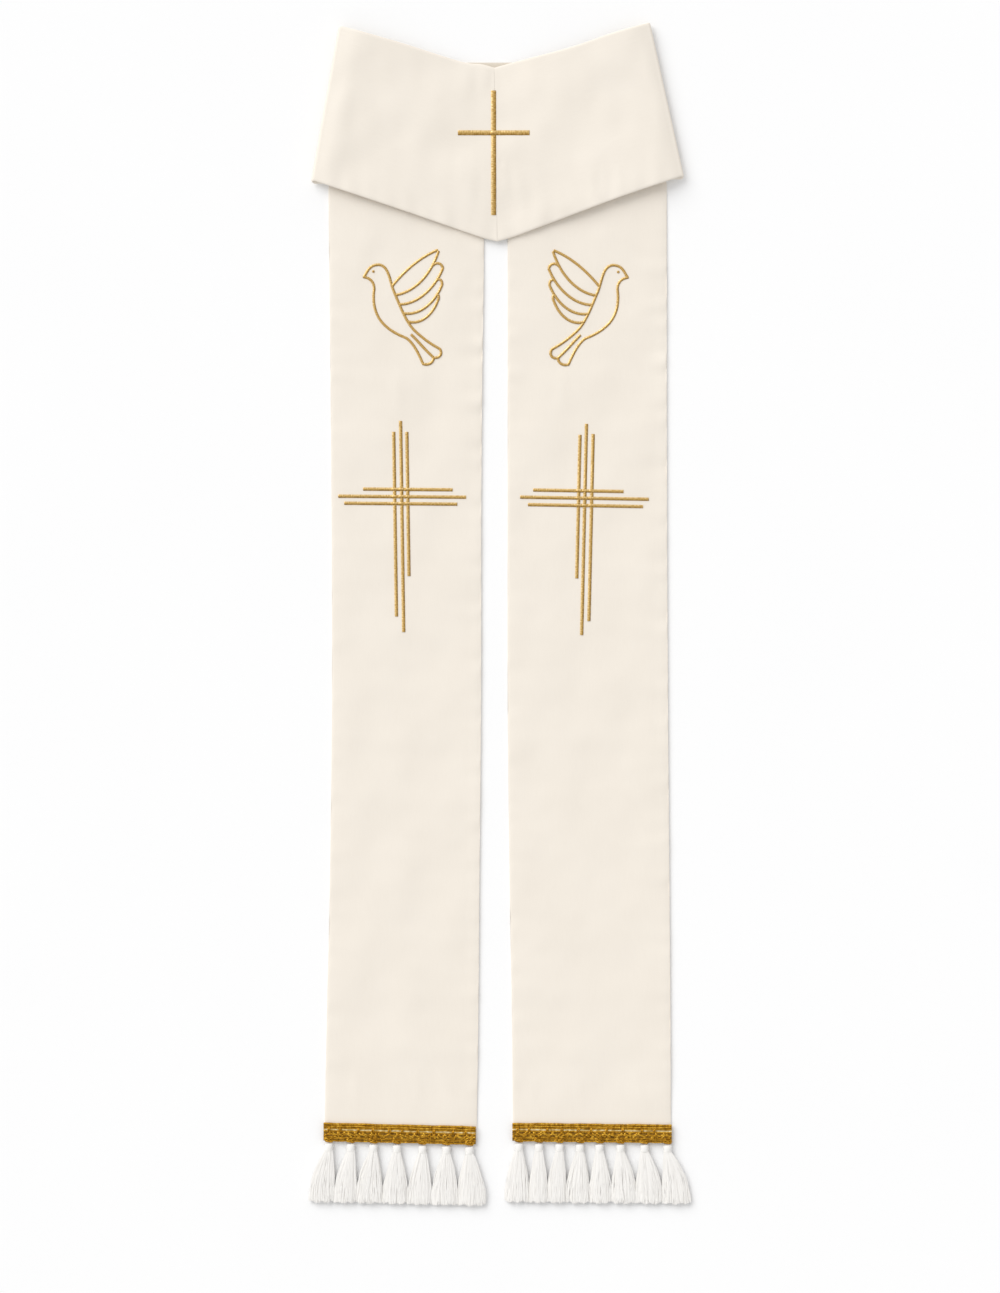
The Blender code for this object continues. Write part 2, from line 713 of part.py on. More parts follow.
def make_tassel(side, place, material):
    """A round head whose lower face splits into two layers of tapering locks."""
    head_x, skirt_left, skirt_right = TASSELS[side][place]
    ends_x, ends_y = BRAIDS[side]
    y_top = np.interp(head_x, ends_x, ends_y) - BRAID_WIDTH - FOOT_LENGTH - SEAM_GAP
    rim = rim_places()
    points = []
    faces = []

    def root_point(i, j, half_width, half_height, y):
        """A corner of the root grid: the middle ones stay level, the rim is rounded."""
        across = 2 * i / LOCKS_ACROSS - 1
        swell = 1.0 if j == 1 else math.sqrt(1 - HEAD_ROUNDING * across**2)
        lift = (j - 1) * half_height * swell
        return (head_x + across * half_width, y, TASSEL_MIDDLE_HEIGHT + lift)

    for depth, half_width, half_height in TASSEL_HEAD_SECTIONS:
        for i, j in rim:
            points.append(root_point(i, j, half_width, half_height, y_top - depth))
    around = len(rim)
    faces.append(tuple(range(around)))
    for ring in range(len(TASSEL_HEAD_SECTIONS) - 1):
        for i in range(around):
            after = (i + 1) % around
            faces.append(
                (
                    ring * around + i,
                    ring * around + after,
                    (ring + 1) * around + after,
                    (ring + 1) * around + i,
                )
            )
    last = (len(TASSEL_HEAD_SECTIONS) - 1) * around
    root = {spot: last + number for number, spot in enumerate(rim)}
    _, half_width, half_height = TASSEL_HEAD_SECTIONS[-1]
    for i in range(1, LOCKS_ACROSS):
        root[i, 1] = len(points)
        points.append(root_point(i, 1, half_width, half_height, y_top - TASSEL_HEAD))

    root_pitch = 2 * half_width / LOCKS_ACROSS
    low_pitch = (skirt_right - skirt_left) / LOCKS_ACROSS
    for i in range(LOCKS_ACROSS):
        for layer in range(2):
            previous = [
                root[i, layer],
                root[i + 1, layer],
                root[i + 1, layer + 1],
                root[i, layer + 1],
            ]
            wander = LOCK_WANDER * math.sin(LOCK_WANDER_TURN * i + place)
            stagger = LAYER_STAGGER * (1 - 2 * layer) + wander
            low_x = skirt_left + low_pitch * (i + 0.5 + stagger)
            turn = LOCK_UNEVEN_TURNS[0] * i + LOCK_UNEVEN_TURNS[1] * layer + place
            reach = TASSEL_LENGTH - LOCK_UNEVEN * abs(math.sin(turn))
            root_x = head_x + root_pitch * (i + 0.5) - half_width
            floor = LOCK_LIFT + layer * LAYER_RISE
            for share, width, low, high in LOCK_SECTIONS:
                spread = share**SKIRT_FLARE
                x = root_x + (low_x - root_x) * spread
                half = width * (root_pitch + (low_pitch - root_pitch) * spread)
                y = y_top - TASSEL_HEAD - (reach - TASSEL_HEAD) * share
                start = len(points)
                for step, lift in ((-half, low), (half, low), (half, high), (-half, high)):
                    points.append((x + step, y, floor + lift))
                ring = [start, start + 1, start + 2, start + 3]
                for k in range(4):
                    after = (k + 1) % 4
                    faces.append((previous[k], previous[after], ring[after], ring[k]))
                previous = ring
            faces.append(tuple(previous))
    return add_object(f"{side}_tassel_{place + 1}", points, faces, material)


def build_stole():
    clear_scene()
    cloth = finish_material("cream face cloth", CLOTH_COLOUR, 0.75, 0.0)
    lining = finish_material("cream lining", LINING_COLOUR, 0.7, 0.0)
    stitch = finish_material("gold embroidery thread", STITCH_COLOUR, 0.4, 0.5)
    braid = finish_material("gold braid", BRAID_COLOUR, 0.4, 0.6)
    yarn = finish_material("white tassel yarn", YARN_COLOUR, 0.7, 0.0)
    panels = [make_panel(side, cloth) for side in ("left", "right")]
    necks = [make_neck(side, cloth) for side in ("left", "right")]
    make_lining(lining)
    panel_tree = cloth_tree(panels)
    neck_tree = cloth_tree(necks)
    for name in ("left_cross", "right_cross"):
        make_cross(name, panel_tree, stitch)
    make_cross("neck_cross", neck_tree, stitch)
    for name in DOVE_MIDDLES:
        make_dove(name, panel_tree, stitch)
    for side in ("left", "right"):
        make_braid(side, braid)
        for place in range(len(TASSELS[side])):
            make_tassel(side, place, yarn)


build_stole()
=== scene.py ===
"""Clerical stole laid flat, its neck folded over the tops of the two panels.

Tables are in millimetres in the model's frame: the hems towards -Y, the neck towards +Y
and the underside at height 0. They become metres when a mesh is made.
"""

import math

import bpy
import numpy as np
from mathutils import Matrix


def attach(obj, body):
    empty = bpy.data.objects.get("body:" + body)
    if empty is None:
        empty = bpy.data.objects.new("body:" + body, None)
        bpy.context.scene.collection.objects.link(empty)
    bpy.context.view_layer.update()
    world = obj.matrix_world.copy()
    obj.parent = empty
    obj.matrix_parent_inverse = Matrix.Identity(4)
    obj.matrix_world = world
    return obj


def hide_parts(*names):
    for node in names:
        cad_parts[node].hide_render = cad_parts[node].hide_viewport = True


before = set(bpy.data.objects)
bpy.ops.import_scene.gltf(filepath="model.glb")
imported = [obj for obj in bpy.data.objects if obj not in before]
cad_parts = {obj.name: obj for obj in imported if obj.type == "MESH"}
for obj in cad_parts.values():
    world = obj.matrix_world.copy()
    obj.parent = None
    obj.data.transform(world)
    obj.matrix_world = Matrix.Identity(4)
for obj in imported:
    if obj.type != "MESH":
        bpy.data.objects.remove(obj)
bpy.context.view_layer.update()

# The two long panels: cream face cloth over an interlining, from the hem up to the
# shoulder seams under the neck. The turned edges are soft rolls with small puckers, and the
# edge at the right of each panel lifts a little off the floor.

MM = 0.001
CLOTH = 2.6
HALF_CLOTH = CLOTH / 2
SEAM_GAP = 0.3
SEAM_BACK = 4.0
PANEL_RINGS = 205
FAN_RINGS = 18
COLUMN_STEP = 3.0
LEFT_ROLL = 4.6
RIGHT_ROLL = 7.0
RIGHT_TIP = 1.0
RIGHT_LIFT = 0.7
RIGHT_REACH = 12.0
EDGE_SLACK = 0.6
EDGE_SLACK_REACH = 17.0
UNDER_LEFT_ROLL = 1.4
UNDER_RIGHT_ROLL = 4.5
RIM_STEPS = np.array([0.08, 0.3, 0.65, 1.1, 1.7, 2.5, 3.5, 4.7, 6.2])
SWELL = 0.007
SWELL_SEED = 5
PULLED = 1.3
PULLED_Y = 265.0
PULLED_SPREAD = 70.0
PUCKER = 0.5
PUCKER_REACH = 11.0
PUCKER_WAVES = (3.7, 17.0, 5.9, 29.0)
PUCKER_START = 2.0
LEFT_PUCKER = 0.6
EDGE_POWER = 2.4
ROUND_POWER = 2.0
HEM_THIN = 0.12
HEM_ROLL = 3.0
PANEL_WIDTH = 150.0
PANEL_PHASES = {"left": 0.0, "right": 1.9}

# Where along the stole the relief shows, and where the right edges lift: y of the lower end
# and the run over which it fades in, y of the upper end and the run over which it fades out
RELIEF_SPAN = (-506.0, 30.0, 425.0, 45.0)
LIFT_SPAN = (-490.0, 40.0, 368.0, 40.0)

# Each panel's long edges: x and y on the edge at the left, x and y on the edge at the right
PANEL_EDGES = {
    "left": (
        (-176.0, -523.0, -23.8, -523.0),
        (-173.3, -385.0, -22.0, -385.0),
        (-170.8, -285.0, -21.2, -285.0),
        (-168.5, -85.0, -19.4, -85.0),
        (-169.2, 150.0, -19.0, 150.0),
        (-172.0, 425.0, -16.4, 376.0),
    ),
    "right": (
        (12.6, -523.0, 170.5, -523.0),
        (11.2, -385.0, 169.8, -385.0),
        (9.4, -285.0, 169.0, -285.0),
        (7.2, -85.0, 167.4, -85.0),
        (7.2, 150.0, 166.3, 150.0),
        (7.2, 376.0, 166.2, 430.0),
    ),
}

# Which way each half faces
SIGNS = {"left": 1, "right": -1}

# The hidden diagonal fold of each neck half: its upper and its lower end
DIAGONAL = {
    "left": ((-148.5, 577.5), (-27.0, 435.0)),
    "right": ((137.5, 580.5), (16.5, 437.0)),
}

# Soft creases of the panels: x, y of both ends, height and half width
PANEL_CREASES = (
    (-92, 262, -74, 228, 0.44, 7),
    (-104, 246, -101, 196, 0.40, 6),
    (-60, 300, -30, 352, 0.40, 9),
    (-152, 330, -128, 380, 0.32, 9),
    (-158, 40, -120, 30, 0.20, 6),
    (-60, 8, -22, -6, 0.28, 6),
    (-46, -62, -20, -70, 0.24, 4),
    (-166, -100, -130, -112, 0.24, 6),
    (-150, -135, -40, -140, -0.32, 10),
    (-168, -210, -140, -200, 0.20, 5),
    (-62, -232, -24, -214, 0.24, 7),
    (-160, -330, -110, -345, 0.24, 9),
    (-64, -445, -42, -500, 0.52, 6),
    (-86, -455, -80, -500, 0.32, 5),
    (-146, -452, -144, -500, 0.40, 5),
    (-120, -470, -116, -502, -0.24, 6),
    (62, 246, 60, 200, 0.40, 6),
    (96, 250, 116, 222, 0.32, 7),
    (130, 352, 164, 338, 0.40, 6),
    (128, 300, 164, 312, 0.28, 5),
    (134, 196, 166, 184, 0.40, 6),
    (140, 160, 166, 168, 0.24, 4),
    (126, 82, 166, 94, 0.32, 6),
    (132, 30, 166, 24, 0.28, 5),
    (8, 62, 40, 52, 0.24, 6),
    (30, -132, 150, -142, -0.32, 10),
    (10, -210, 52, -224, 0.28, 7),
    (120, -236, 168, -226, 0.28, 6),
    (128, -330, 170, -340, 0.24, 6),
    (14, -340, 44, -330, 0.24, 6),
    (34, -462, 30, -502, 0.36, 5),
    (76, -456, 82, -500, 0.36, 6),
    (132, -452, 146, -500, 0.44, 6),
)


def run_along(line):
    """Length along a line of points, from its start to each point."""
    return np.concatenate([[0], np.cumsum(np.linalg.norm(np.diff(line, axis=0), axis=1))])


def stacked(*parts):
    """Arrays over one grid as one array, their numbers side by side at each point."""
    return np.dstack(np.broadcast_arrays(*parts))


def between(first, last, share):
    """Rows of points at shares of the way from one line's points to another's."""
    return first[:, None] * (1 - share[..., None]) + last[:, None] * share[..., None]


def cubic_span(t, start, stop, leave, arrive):
    """Cubic between two values, from the slopes at which it leaves and arrives."""
    return (
        (2 * t**3 - 3 * t**2 + 1) * start
        + (t**3 - 2 * t**2 + t) * leave
        + (3 * t**2 - 2 * t**3) * stop
        + (t**3 - t**2) * arrive
    )


def smooth_line(points, shares):
    """Points at the given shares of length along cubic spans through a few points. The slope
    at a point is half the step between the points beside it."""
    knots = np.array(points, float)
    ends = np.vstack([2 * knots[0] - knots[1], knots, 2 * knots[-1] - knots[-2]])
    slopes = (ends[2:] - ends[:-2]) / 2
    t = np.linspace(0, 1, 25)[None, :, None]
    curve = cubic_span(t, knots[:-1, None], knots[1:, None], slopes[:-1, None], slopes[1:, None])
    curve = curve.reshape(-1, knots.shape[1])
    run = run_along(curve)
    wanted = np.asarray(shares) * run[-1]
    return np.column_stack([np.interp(wanted, run, column) for column in curve.T])


def crease_height(x, y, creases):
    """Sum of soft ridges: each is a bell across its own line, faded at the line's two ends."""
    rows = np.array(creases, float)
    start, run = rows[:, 0:2], rows[:, 2:4] - rows[:, 0:2]
    length = np.linalg.norm(run, axis=1)
    run = run / length[:, None]
    off_x, off_y = x[..., None] - start[:, 0], y[..., None] - start[:, 1]
    share = (off_x * run[:, 0] + off_y * run[:, 1]) / length
    across = off_y * run[:, 0] - off_x * run[:, 1]
    fade = np.clip(4 * share * (1 - share), 0, 1) ** 0.7
    return (rows[:, 4] * fade * np.exp(-((across / rows[:, 5]) ** 2))).sum(axis=-1)


def soft_swells(x, y, seed, count=26, shortest=24.0, longest=90.0):
    """Uneven gentle relief: a sum of plane waves in all directions, each of them as high as
    its own length, so that all are equally steep, over the square root of their number."""
    draw = np.random.default_rng(seed)
    length = draw.uniform(shortest, longest, count)
    turn, phase = draw.uniform(0, math.pi, count), draw.uniform(0, 2 * math.pi, count)
    way = x[..., None] * np.cos(turn) + y[..., None] * np.sin(turn)
    return (length * np.sin(2 * math.pi * way / length + phase)).sum(axis=-1) / math.sqrt(count)


def span_fade(y, span):
    """1 within a span of y and 0 outside it, straight over a run at each end."""
    low, low_run, high, high_run = span
    return np.clip((high - y) / high_run, 0, 1) * np.clip((y - low) / low_run, 0, 1)


def panel_relief(x, y):
    """Height of the panels' swells and creases where they show."""
    relief = SWELL * soft_swells(x, y, SWELL_SEED) + crease_height(x, y, PANEL_CREASES)
    return span_fade(y, RELIEF_SPAN) * relief


def edge_pucker(distance, y, phase, reach):
    """Small ripples along a turned edge, strongest at the edge and gone at about twice the
    reach further in."""
    short, long, middle, slow = PUCKER_WAVES
    ripple = np.sin(y / short + phase) * np.sin(y / long + 2 * phase)
    ripple += 0.7 * np.sin(y / middle + 3 * phase) * np.cos(y / slow - phase)
    return PUCKER * ripple * np.exp(-distance / reach)


def rolled(distance, reach, power):
    """Rise from 0 at an edge to 1 at the given reach, along a flattened quarter circle."""
    return np.sqrt(1 - (1 - np.clip(distance / reach, 0, 1)) ** power)


def rim_places(length, step):
    """Distances across a band: close together at both edges and even between them."""
    inner = np.linspace(RIM_STEPS[-1], length - RIM_STEPS[-1], max(3, round(length / step)))
    return np.concatenate([RIM_STEPS[:-1], inner, length - RIM_STEPS[:-1][::-1]])


def side_faces(rings, around):
    """Quads between closed rings of points, numbered ring after ring."""
    ring = np.arange(around)
    first, after = np.arange(rings - 1)[:, None] * around, (ring + 1) % around
    quads = [first + ring, first + after, first + around + after, first + around + ring]
    return np.stack(quads, -1).reshape(-1, 4)


def wall_faces(rows, columns):
    """Faces of a closed wall whose sections are an upper row, a far edge point, a lower row
    and a near edge point: quads along it, and strips and corner faces over both ends."""
    place = np.arange(columns - 1)
    under = 2 * columns - place
    strip = np.stack([place, place + 1, under - 1, under], -1)
    corners = np.array([[columns - 1, columns, columns + 1], [2 * columns + 1, 0, 2 * columns]])
    around = 2 * columns + 2
    last = (rows - 1) * around
    quads = np.concatenate([side_faces(rows, around), strip[:, ::-1], strip + last])
    return [quads, np.concatenate([corners[:, ::-1], corners + last])]


def wall_sections(top, far, foot, near):
    """A closed wall's sections: upper rows, far edge points, lower rows, near edge points."""
    return np.concatenate([top, far[:, None], foot[:, ::-1], near[:, None]], axis=1)


def add_object(name, data):
    """An object of a mesh, a lamp or a camera, linked into the scene."""
    item = bpy.data.objects.new(name, data)
    bpy.context.scene.collection.objects.link(item)
    return item


def add_piece(name, node, slot, points, faces, lay, material, flat_from=None):
    """A piece in place of a solid of the frame, from points in millimetres and arrays of
    faces, turned outwards by the sign of its volume. lay is two more numbers a point, kept as
    its UV map. The faces from point flat_from on are shaded flat."""
    points = np.asarray(points, float).reshape(-1, 3)
    fans = np.concatenate(
        [f[:, [0, k, k + 1]] for f in faces for k in range(1, f.shape[1] - 1)]
    )
    a, b, c = points[fans[:, 0]], points[fans[:, 1]], points[fans[:, 2]]
    if (a * np.cross(b, c)).sum() < 0:
        faces = [f[:, ::-1] for f in faces]
    corners = np.concatenate([f.ravel() for f in faces])
    totals = np.concatenate([np.full(len(f), f.shape[1]) for f in faces])
    mesh = bpy.data.meshes.new(name)
    mesh.vertices.add(len(points))
    mesh.vertices.foreach_set("co", (points * MM).ravel())
    mesh.loops.add(len(corners))
    mesh.loops.foreach_set("vertex_index", corners.astype(np.int32))
    mesh.polygons.add(len(totals))
    starts = np.concatenate([[0], np.cumsum(totals)[:-1]])
    mesh.polygons.foreach_set("loop_start", starts.astype(np.int32))
    mesh.polygons.foreach_set("loop_total", totals.astype(np.int32))
    mesh.update(calc_edges=True)
    layer = mesh.uv_layers.new(name="lay")
    layer.data.foreach_set("uv", np.asarray(lay, float).reshape(-1, 2)[corners].ravel())
    mesh.shade_smooth()
    if flat_from is not None:
        mesh.polygons.foreach_set("use_smooth", corners[starts] < flat_from)
    mesh.materials.append(material)
    piece = add_object(name, mesh)
    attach(piece, "root")
    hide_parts(node)
    return piece


def add_wall(name, slot, sections, lay, material):
    """The cloth in place of a solid, from the sections of its closed wall."""
    faces = wall_faces(len(sections), sections.shape[1] // 2 - 1)
    return add_piece(f"{name}_cloth", name, slot, sections, faces, lay, material)


def new_material(name, colour, roughness, metallic):
    """A material with its Principled shader's own constants set."""
    material = bpy.data.materials.new(name)
    material.use_nodes = True
    shader = material.node_tree.nodes["Principled BSDF"]
    shader.inputs["Base Color"].default_value = (*colour, 1)
    shader.inputs["Roughness"].default_value = roughness
    shader.inputs["Metallic"].default_value = metallic
    return material, shader


def new_group(name, numbers, outputs):
    """An empty shader group: numbers, the piece's lay and its place go in, and numbers come
    out. The lay's own two numbers are given as well."""
    group = bpy.data.node_groups.new(name, "ShaderNodeTree")
    sockets = [(label, "INPUT", "Float") for label in numbers]
    sockets += [(label, "INPUT", "Vector") for label in ("Lay", "Place")]
    for label, way, kind in sockets + [(label, "OUTPUT", "Float") for label in outputs]:
        group.interface.new_socket(label, in_out=way, socket_type=f"NodeSocket{kind}")
    given = group.nodes.new("NodeGroupInput").outputs
    parts = group.nodes.new("ShaderNodeSeparateXYZ")
    group.links.new(given["Lay"], parts.inputs[0])
    return group, given, parts.outputs


def end_group(group, **values):
    """Link a shader group's results to its outputs of the same names."""
    result = group.nodes.new("NodeGroupOutput")
    for label, value in values.items():
        group.links.new(value, result.inputs[label])
    return group


def math_node(tree, operation, first, second=None, third=None):
    """A Math node, each input a socket or a number."""
    node = tree.nodes.new("ShaderNodeMath")
    node.operation = operation
    for place, value in enumerate((first, second, third)):
        if isinstance(value, (int, float)):
            node.inputs[place].default_value = value
        elif value is not None:
            tree.links.new(value, node.inputs[place])
    return node.outputs[0]


def noise_node(tree, vector, scale, detail=2.0, stretch=(1, 1, 1)):
    """Noise at a given number of grains a unit, its space stretched first."""
    mapping = tree.nodes.new("ShaderNodeMapping")
    mapping.inputs["Scale"].default_value = stretch
    tree.links.new(vector, mapping.inputs["Vector"])
    noise = tree.nodes.new("ShaderNodeTexNoise")
    noise.inputs["Scale"].default_value = scale
    noise.inputs["Detail"].default_value = detail
    tree.links.new(mapping.outputs[0], noise.inputs["Vector"])
    return noise.outputs["Fac"]


def mix_colours(tree, factor, first, second):
    """A colour between two."""
    node = tree.nodes.new("ShaderNodeMix")
    node.data_type = "RGBA"
    tree.links.new(factor, node.inputs["Factor"])
    for label, value in (("A", first), ("B", second)):
        socket = [s for s in node.inputs if s.name == label and s.type == "RGBA"][0]
        socket.default_value = (*value, 1)
    return [s for s in node.outputs if s.type == "RGBA"][0]


def group_outputs(tree, group, **values):
    """Outputs of a shader group fed with the piece's lay and place, the rest as numbers."""
    place = tree.nodes.new("ShaderNodeTexCoord")
    node = tree.nodes.new("ShaderNodeGroup")
    node.node_tree = group
    for label, value in values.items():
        node.inputs[label].default_value = value
    tree.links.new(place.outputs["UV"], node.inputs["Lay"])
    tree.links.new(place.outputs["Object"], node.inputs["Place"])
    return node.outputs


def link_surface(tree, shader, colour, wear, spread, roughness, height, strength, depth):
    """Link a colour, a roughness that wear spreads about its middle, and a bump."""
    tree.links.new(colour, shader.inputs["Base Color"])
    rough = math_node(tree, "MULTIPLY_ADD", wear, spread, roughness - spread / 2)
    tree.links.new(rough, shader.inputs["Roughness"])
    bump = tree.nodes.new("ShaderNodeBump")
    bump.inputs["Strength"].default_value = strength
    bump.inputs["Distance"].default_value = depth
    tree.links.new(height, bump.inputs["Height"])
    tree.links.new(bump.outputs[0], shader.inputs["Normal"])


def build_weave_group():
    """Plain weave: in every other square of the lay a warp thread crosses over, in the rest
    a weft thread. Each thread is a half sine, and slow noise makes slubs and soft mottling."""
    group, given, lay = new_group("plain weave", ("Threads",), ("Height", "Tone", "Mottle"))
    sines = []
    for way in lay[:2]:
        angle = math_node(group, "MULTIPLY", way, given["Threads"])
        sines.append(math_node(group, "SINE", angle))
    warp, weft = (math_node(group, "ABSOLUTE", sine) for sine in sines)
    over = math_node(group, "GREATER_THAN", math_node(group, "MULTIPLY", *sines), 0.0)
    under = math_node(group, "SUBTRACT", 1.0, over)
    height = math_node(group, "MULTIPLY", warp, over)
    height = math_node(group, "MULTIPLY_ADD", weft, under, height)
    slub = noise_node(group, given["Lay"], 900, 2, (1, 0.06, 1))
    height = math_node(group, "MULTIPLY_ADD", slub, 0.6, height)
    tone = math_node(group, "MULTIPLY_ADD", over, 0.35, slub)
    mottle = noise_node(group, given["Place"], 14, 3)
    return end_group(group, Height=height, Tone=tone, Mottle=mottle)


weave_group = build_weave_group()


def cloth_material(name, pale, deep, threads, roughness, sheen):
    """Woven cloth: the weave group sets the bump, a faint thread tone and a soft mottling."""
    material, shader = new_material(name, pale, roughness, 0)
    shader.inputs["Sheen Weight"].default_value = sheen
    shader.inputs["Sheen Roughness"].default_value = 0.45
    shader.inputs["Specular IOR Level"].default_value = 0.3
    tree = material.node_tree
    weave = group_outputs(tree, weave_group, Threads=threads)
    tone = math_node(tree, "MULTIPLY", weave["Tone"], 0.35)
    shade = math_node(tree, "MULTIPLY_ADD", weave["Mottle"], 0.5, tone)
    colour = mix_colours(tree, shade, pale, deep)
    wear, height = weave["Mottle"], weave["Height"]
    link_surface(tree, shader, colour, wear, 0.14, roughness, height, 0.35, 0.00008)
    return material


face_cloth = cloth_material(
    "cream face cloth", (0.93, 0.865, 0.775), (0.855, 0.785, 0.69), 5200, 0.72, 0.12
)


def diagonal_frame(side):
    """The diagonal fold's ends and the level direction in which the fold bulges."""
    upper, lower = (np.array(end) for end in DIAGONAL[side])
    run = (lower - upper) / np.linalg.norm(lower - upper)
    bulge = np.array([-run[1], run[0]])
    return upper, lower, bulge if bulge[1] > 0 else -bulge


def make_panel(side):
    """Long front as a closed wall. Its plan runs straight between the two edge curves, then
    turns to the diagonal seam; its top is the rolled edges plus the relief."""
    rows = np.array(PANEL_EDGES[side])
    rim = RIM_STEPS / (rows[-1, 1] - rows[0, 1])
    along = np.concatenate([[0], rim, np.linspace(rim[-1], 1, PANEL_RINGS)[1:]])
    upper, lower, bulge = diagonal_frame(side)
    turn = np.linspace(0, 1, FAN_RINGS + 1)[1:, None]
    edges = []
    for table, seam in zip((rows[:, :2], rows[:, 2:]), (upper, lower)[:: SIGNS[side]]):
        edge = smooth_line(table, along)
        seam = seam - bulge * (SEAM_BACK + SEAM_GAP / 2)
        edges.append(np.vstack([edge, edge[-1] + (seam - edge[-1]) * turn]))
    near, far = edges
    width = np.linalg.norm(far - near, axis=1)[:, None]
    share = rim_places(PANEL_WIDTH, COLUMN_STEP)[None] / PANEL_WIDTH
    plan = between(near, far, share)
    x, y = plan[..., 0], plan[..., 1]
    from_near, from_far = share * width, (1 - share) * width
    inwards = np.minimum(from_near, from_far)
    run = run_along(near)[:, None]
    hem = HEM_THIN + (1 - HEM_THIN) * rolled(run + 0.05, HEM_ROLL, EDGE_POWER)
    lifted = span_fade(y, LIFT_SPAN) * (1 - np.clip(from_far / RIGHT_REACH, 0, 1))
    tip = HALF_CLOTH + RIGHT_TIP * lifted
    slack = EDGE_SLACK * (1 - np.clip(inwards / EDGE_SLACK_REACH, 0, 1)) ** 2
    roll = rolled(from_near, LEFT_ROLL, EDGE_POWER)
    roll = np.minimum(roll, rolled(from_far, RIGHT_ROLL, EDGE_POWER))
    top = tip + (CLOTH + RIGHT_LIFT * lifted - tip - slack) * roll * hem
    phase = PANEL_PHASES[side]
    pucker = LEFT_PUCKER * edge_pucker(from_near, y, phase, PUCKER_REACH)
    pucker += edge_pucker(from_far, y, phase + 0.8, PUCKER_REACH)
    pucker *= 1 + PULLED * np.exp(-(((y - PULLED_Y) / PULLED_SPREAD) ** 2))
    pucker *= span_fade(y, RELIEF_SPAN)
    pucker *= rolled(inwards, PUCKER_START, ROUND_POWER)
    top += panel_relief(x, y) + pucker
    under = rolled(from_near, UNDER_LEFT_ROLL, ROUND_POWER)
    under = np.minimum(under, rolled(from_far, UNDER_RIGHT_ROLL, ROUND_POWER))
    foot = tip * (1 - under * hem)
    near_point = np.hstack([near, tip[:, :1]])
    far_point = np.hstack([far, tip[:, -1:]])
    sections = wall_sections(
        np.dstack([plan, top]), far_point, np.dstack([plan, foot]), near_point
    )
    across = np.hstack([from_near, width, from_near[:, ::-1], 0 * width])
    lay = stacked(across, run) * MM
    return add_wall(f"{side}_panel", "face_cloth", sections, lay, face_cloth)


panels = {side: make_panel(side) for side in PANEL_EDGES}


# The neck: two halves of the same cloth, sewn together at the centre back. From the
# shoulder seam each half turns over a tight diagonal fold, goes out under itself, rolls
# softly over at the side and comes back on top, with creases round the seam and the cross.

DIAGONAL_STEPS = 10
MIDDLE_RINGS = 14
ROLL_STEPS = 14
ROLL_STRETCH = 1.2
ROLL_SKEW = 2.5
ROLL_SHARE = 0.06
SHOWN_RINGS = 88
NECK_COLUMN_STEP = 2.1
NECK_WIDTH = 186.0
NECK_REACH = 168.0
NECK_RIM = 0.36
NECK_EDGE_ROLL = 4.0
MIDDLE_UNDER = 3.0
SEAM_ROLL = 1.6
SEAM_DIP = 0.05
SEAM_CLEAR = 0.03
SEAM_LINE = ((372.6, 546.6), (-3.05, -6.25))
SEAM_SLOPES = ((490.0, 540.0), (0.02, 0.05))
SEAM_FLAT = 15.0
NECK_SWELL = 0.01
NECK_SEED = 12
NECK_PUCKER_REACH = 14.0
NECK_PUCKER_PHASE = 0.9
NECK_EDGE_POWER = 2.6
NECK_BACK_STEPS = (SEAM_BACK, 2.5, 1.0)

# The half that shows: x, y along its upper and lower edges, from the fold to the centre
NECK_UPPER = {
    "left": ((-158.2, 587.6), (-100.5, 571.4), (-40.5, 552.8), (-18.5, 549.9), (-6.4, 546.6)),
    "right": ((146.2, 590.8), (109.5, 580.2), (69.5, 566.6), (16.0, 552.6), (-6.1, 546.6)),
}
NECK_LOWER = {
    "left": ((-185.4, 432.8), (-100.5, 404.6), (-24.0, 378.3), (-3.2, 372.6)),
    "right": ((180.2, 437.2), (124.5, 418.6), (74.5, 400.1), (19.0, 379.4), (-2.9, 372.6)),
}

# Under side of the shown half: share of the way from the fold to the centre, then the
# height at the upper edge, half way down and at the lower edge
NECK_HEIGHTS = {
    "left": (
        (0.000, 6.4, 7.4, 7.6),
        (0.035, 7.5, 8.5, 8.7),
        (0.080, 8.8, 9.3, 9.5),
        (0.160, 9.2, 8.8, 8.9),
        (0.280, 8.7, 8.1, 8.1),
        (0.400, 8.0, 7.5, 7.5),
        (0.520, 7.1, 7.0, 6.9),
        (0.640, 6.0, 6.6, 6.1),
        (0.760, 4.4, 6.3, 5.2),
        (0.880, 2.6, 6.0, 4.4),
        (1.000, 1.7, 5.7, 4.0),
    ),
    "right": (
        (0.000, 6.3, 6.4, 6.5),
        (0.020, 7.1, 7.5, 7.8),
        (0.050, 7.9, 8.5, 9.3),
        (0.090, 8.3, 8.9, 10.4),
        (0.160, 8.6, 8.9, 10.8),
        (0.280, 8.6, 8.5, 10.2),
        (0.400, 8.4, 8.0, 9.1),
        (0.520, 7.9, 7.5, 7.8),
        (0.640, 6.9, 7.0, 6.4),
        (0.760, 5.1, 6.6, 5.3),
        (0.880, 2.7, 6.1, 4.4),
        (1.000, 1.7, 5.7, 4.0),
    ),
}

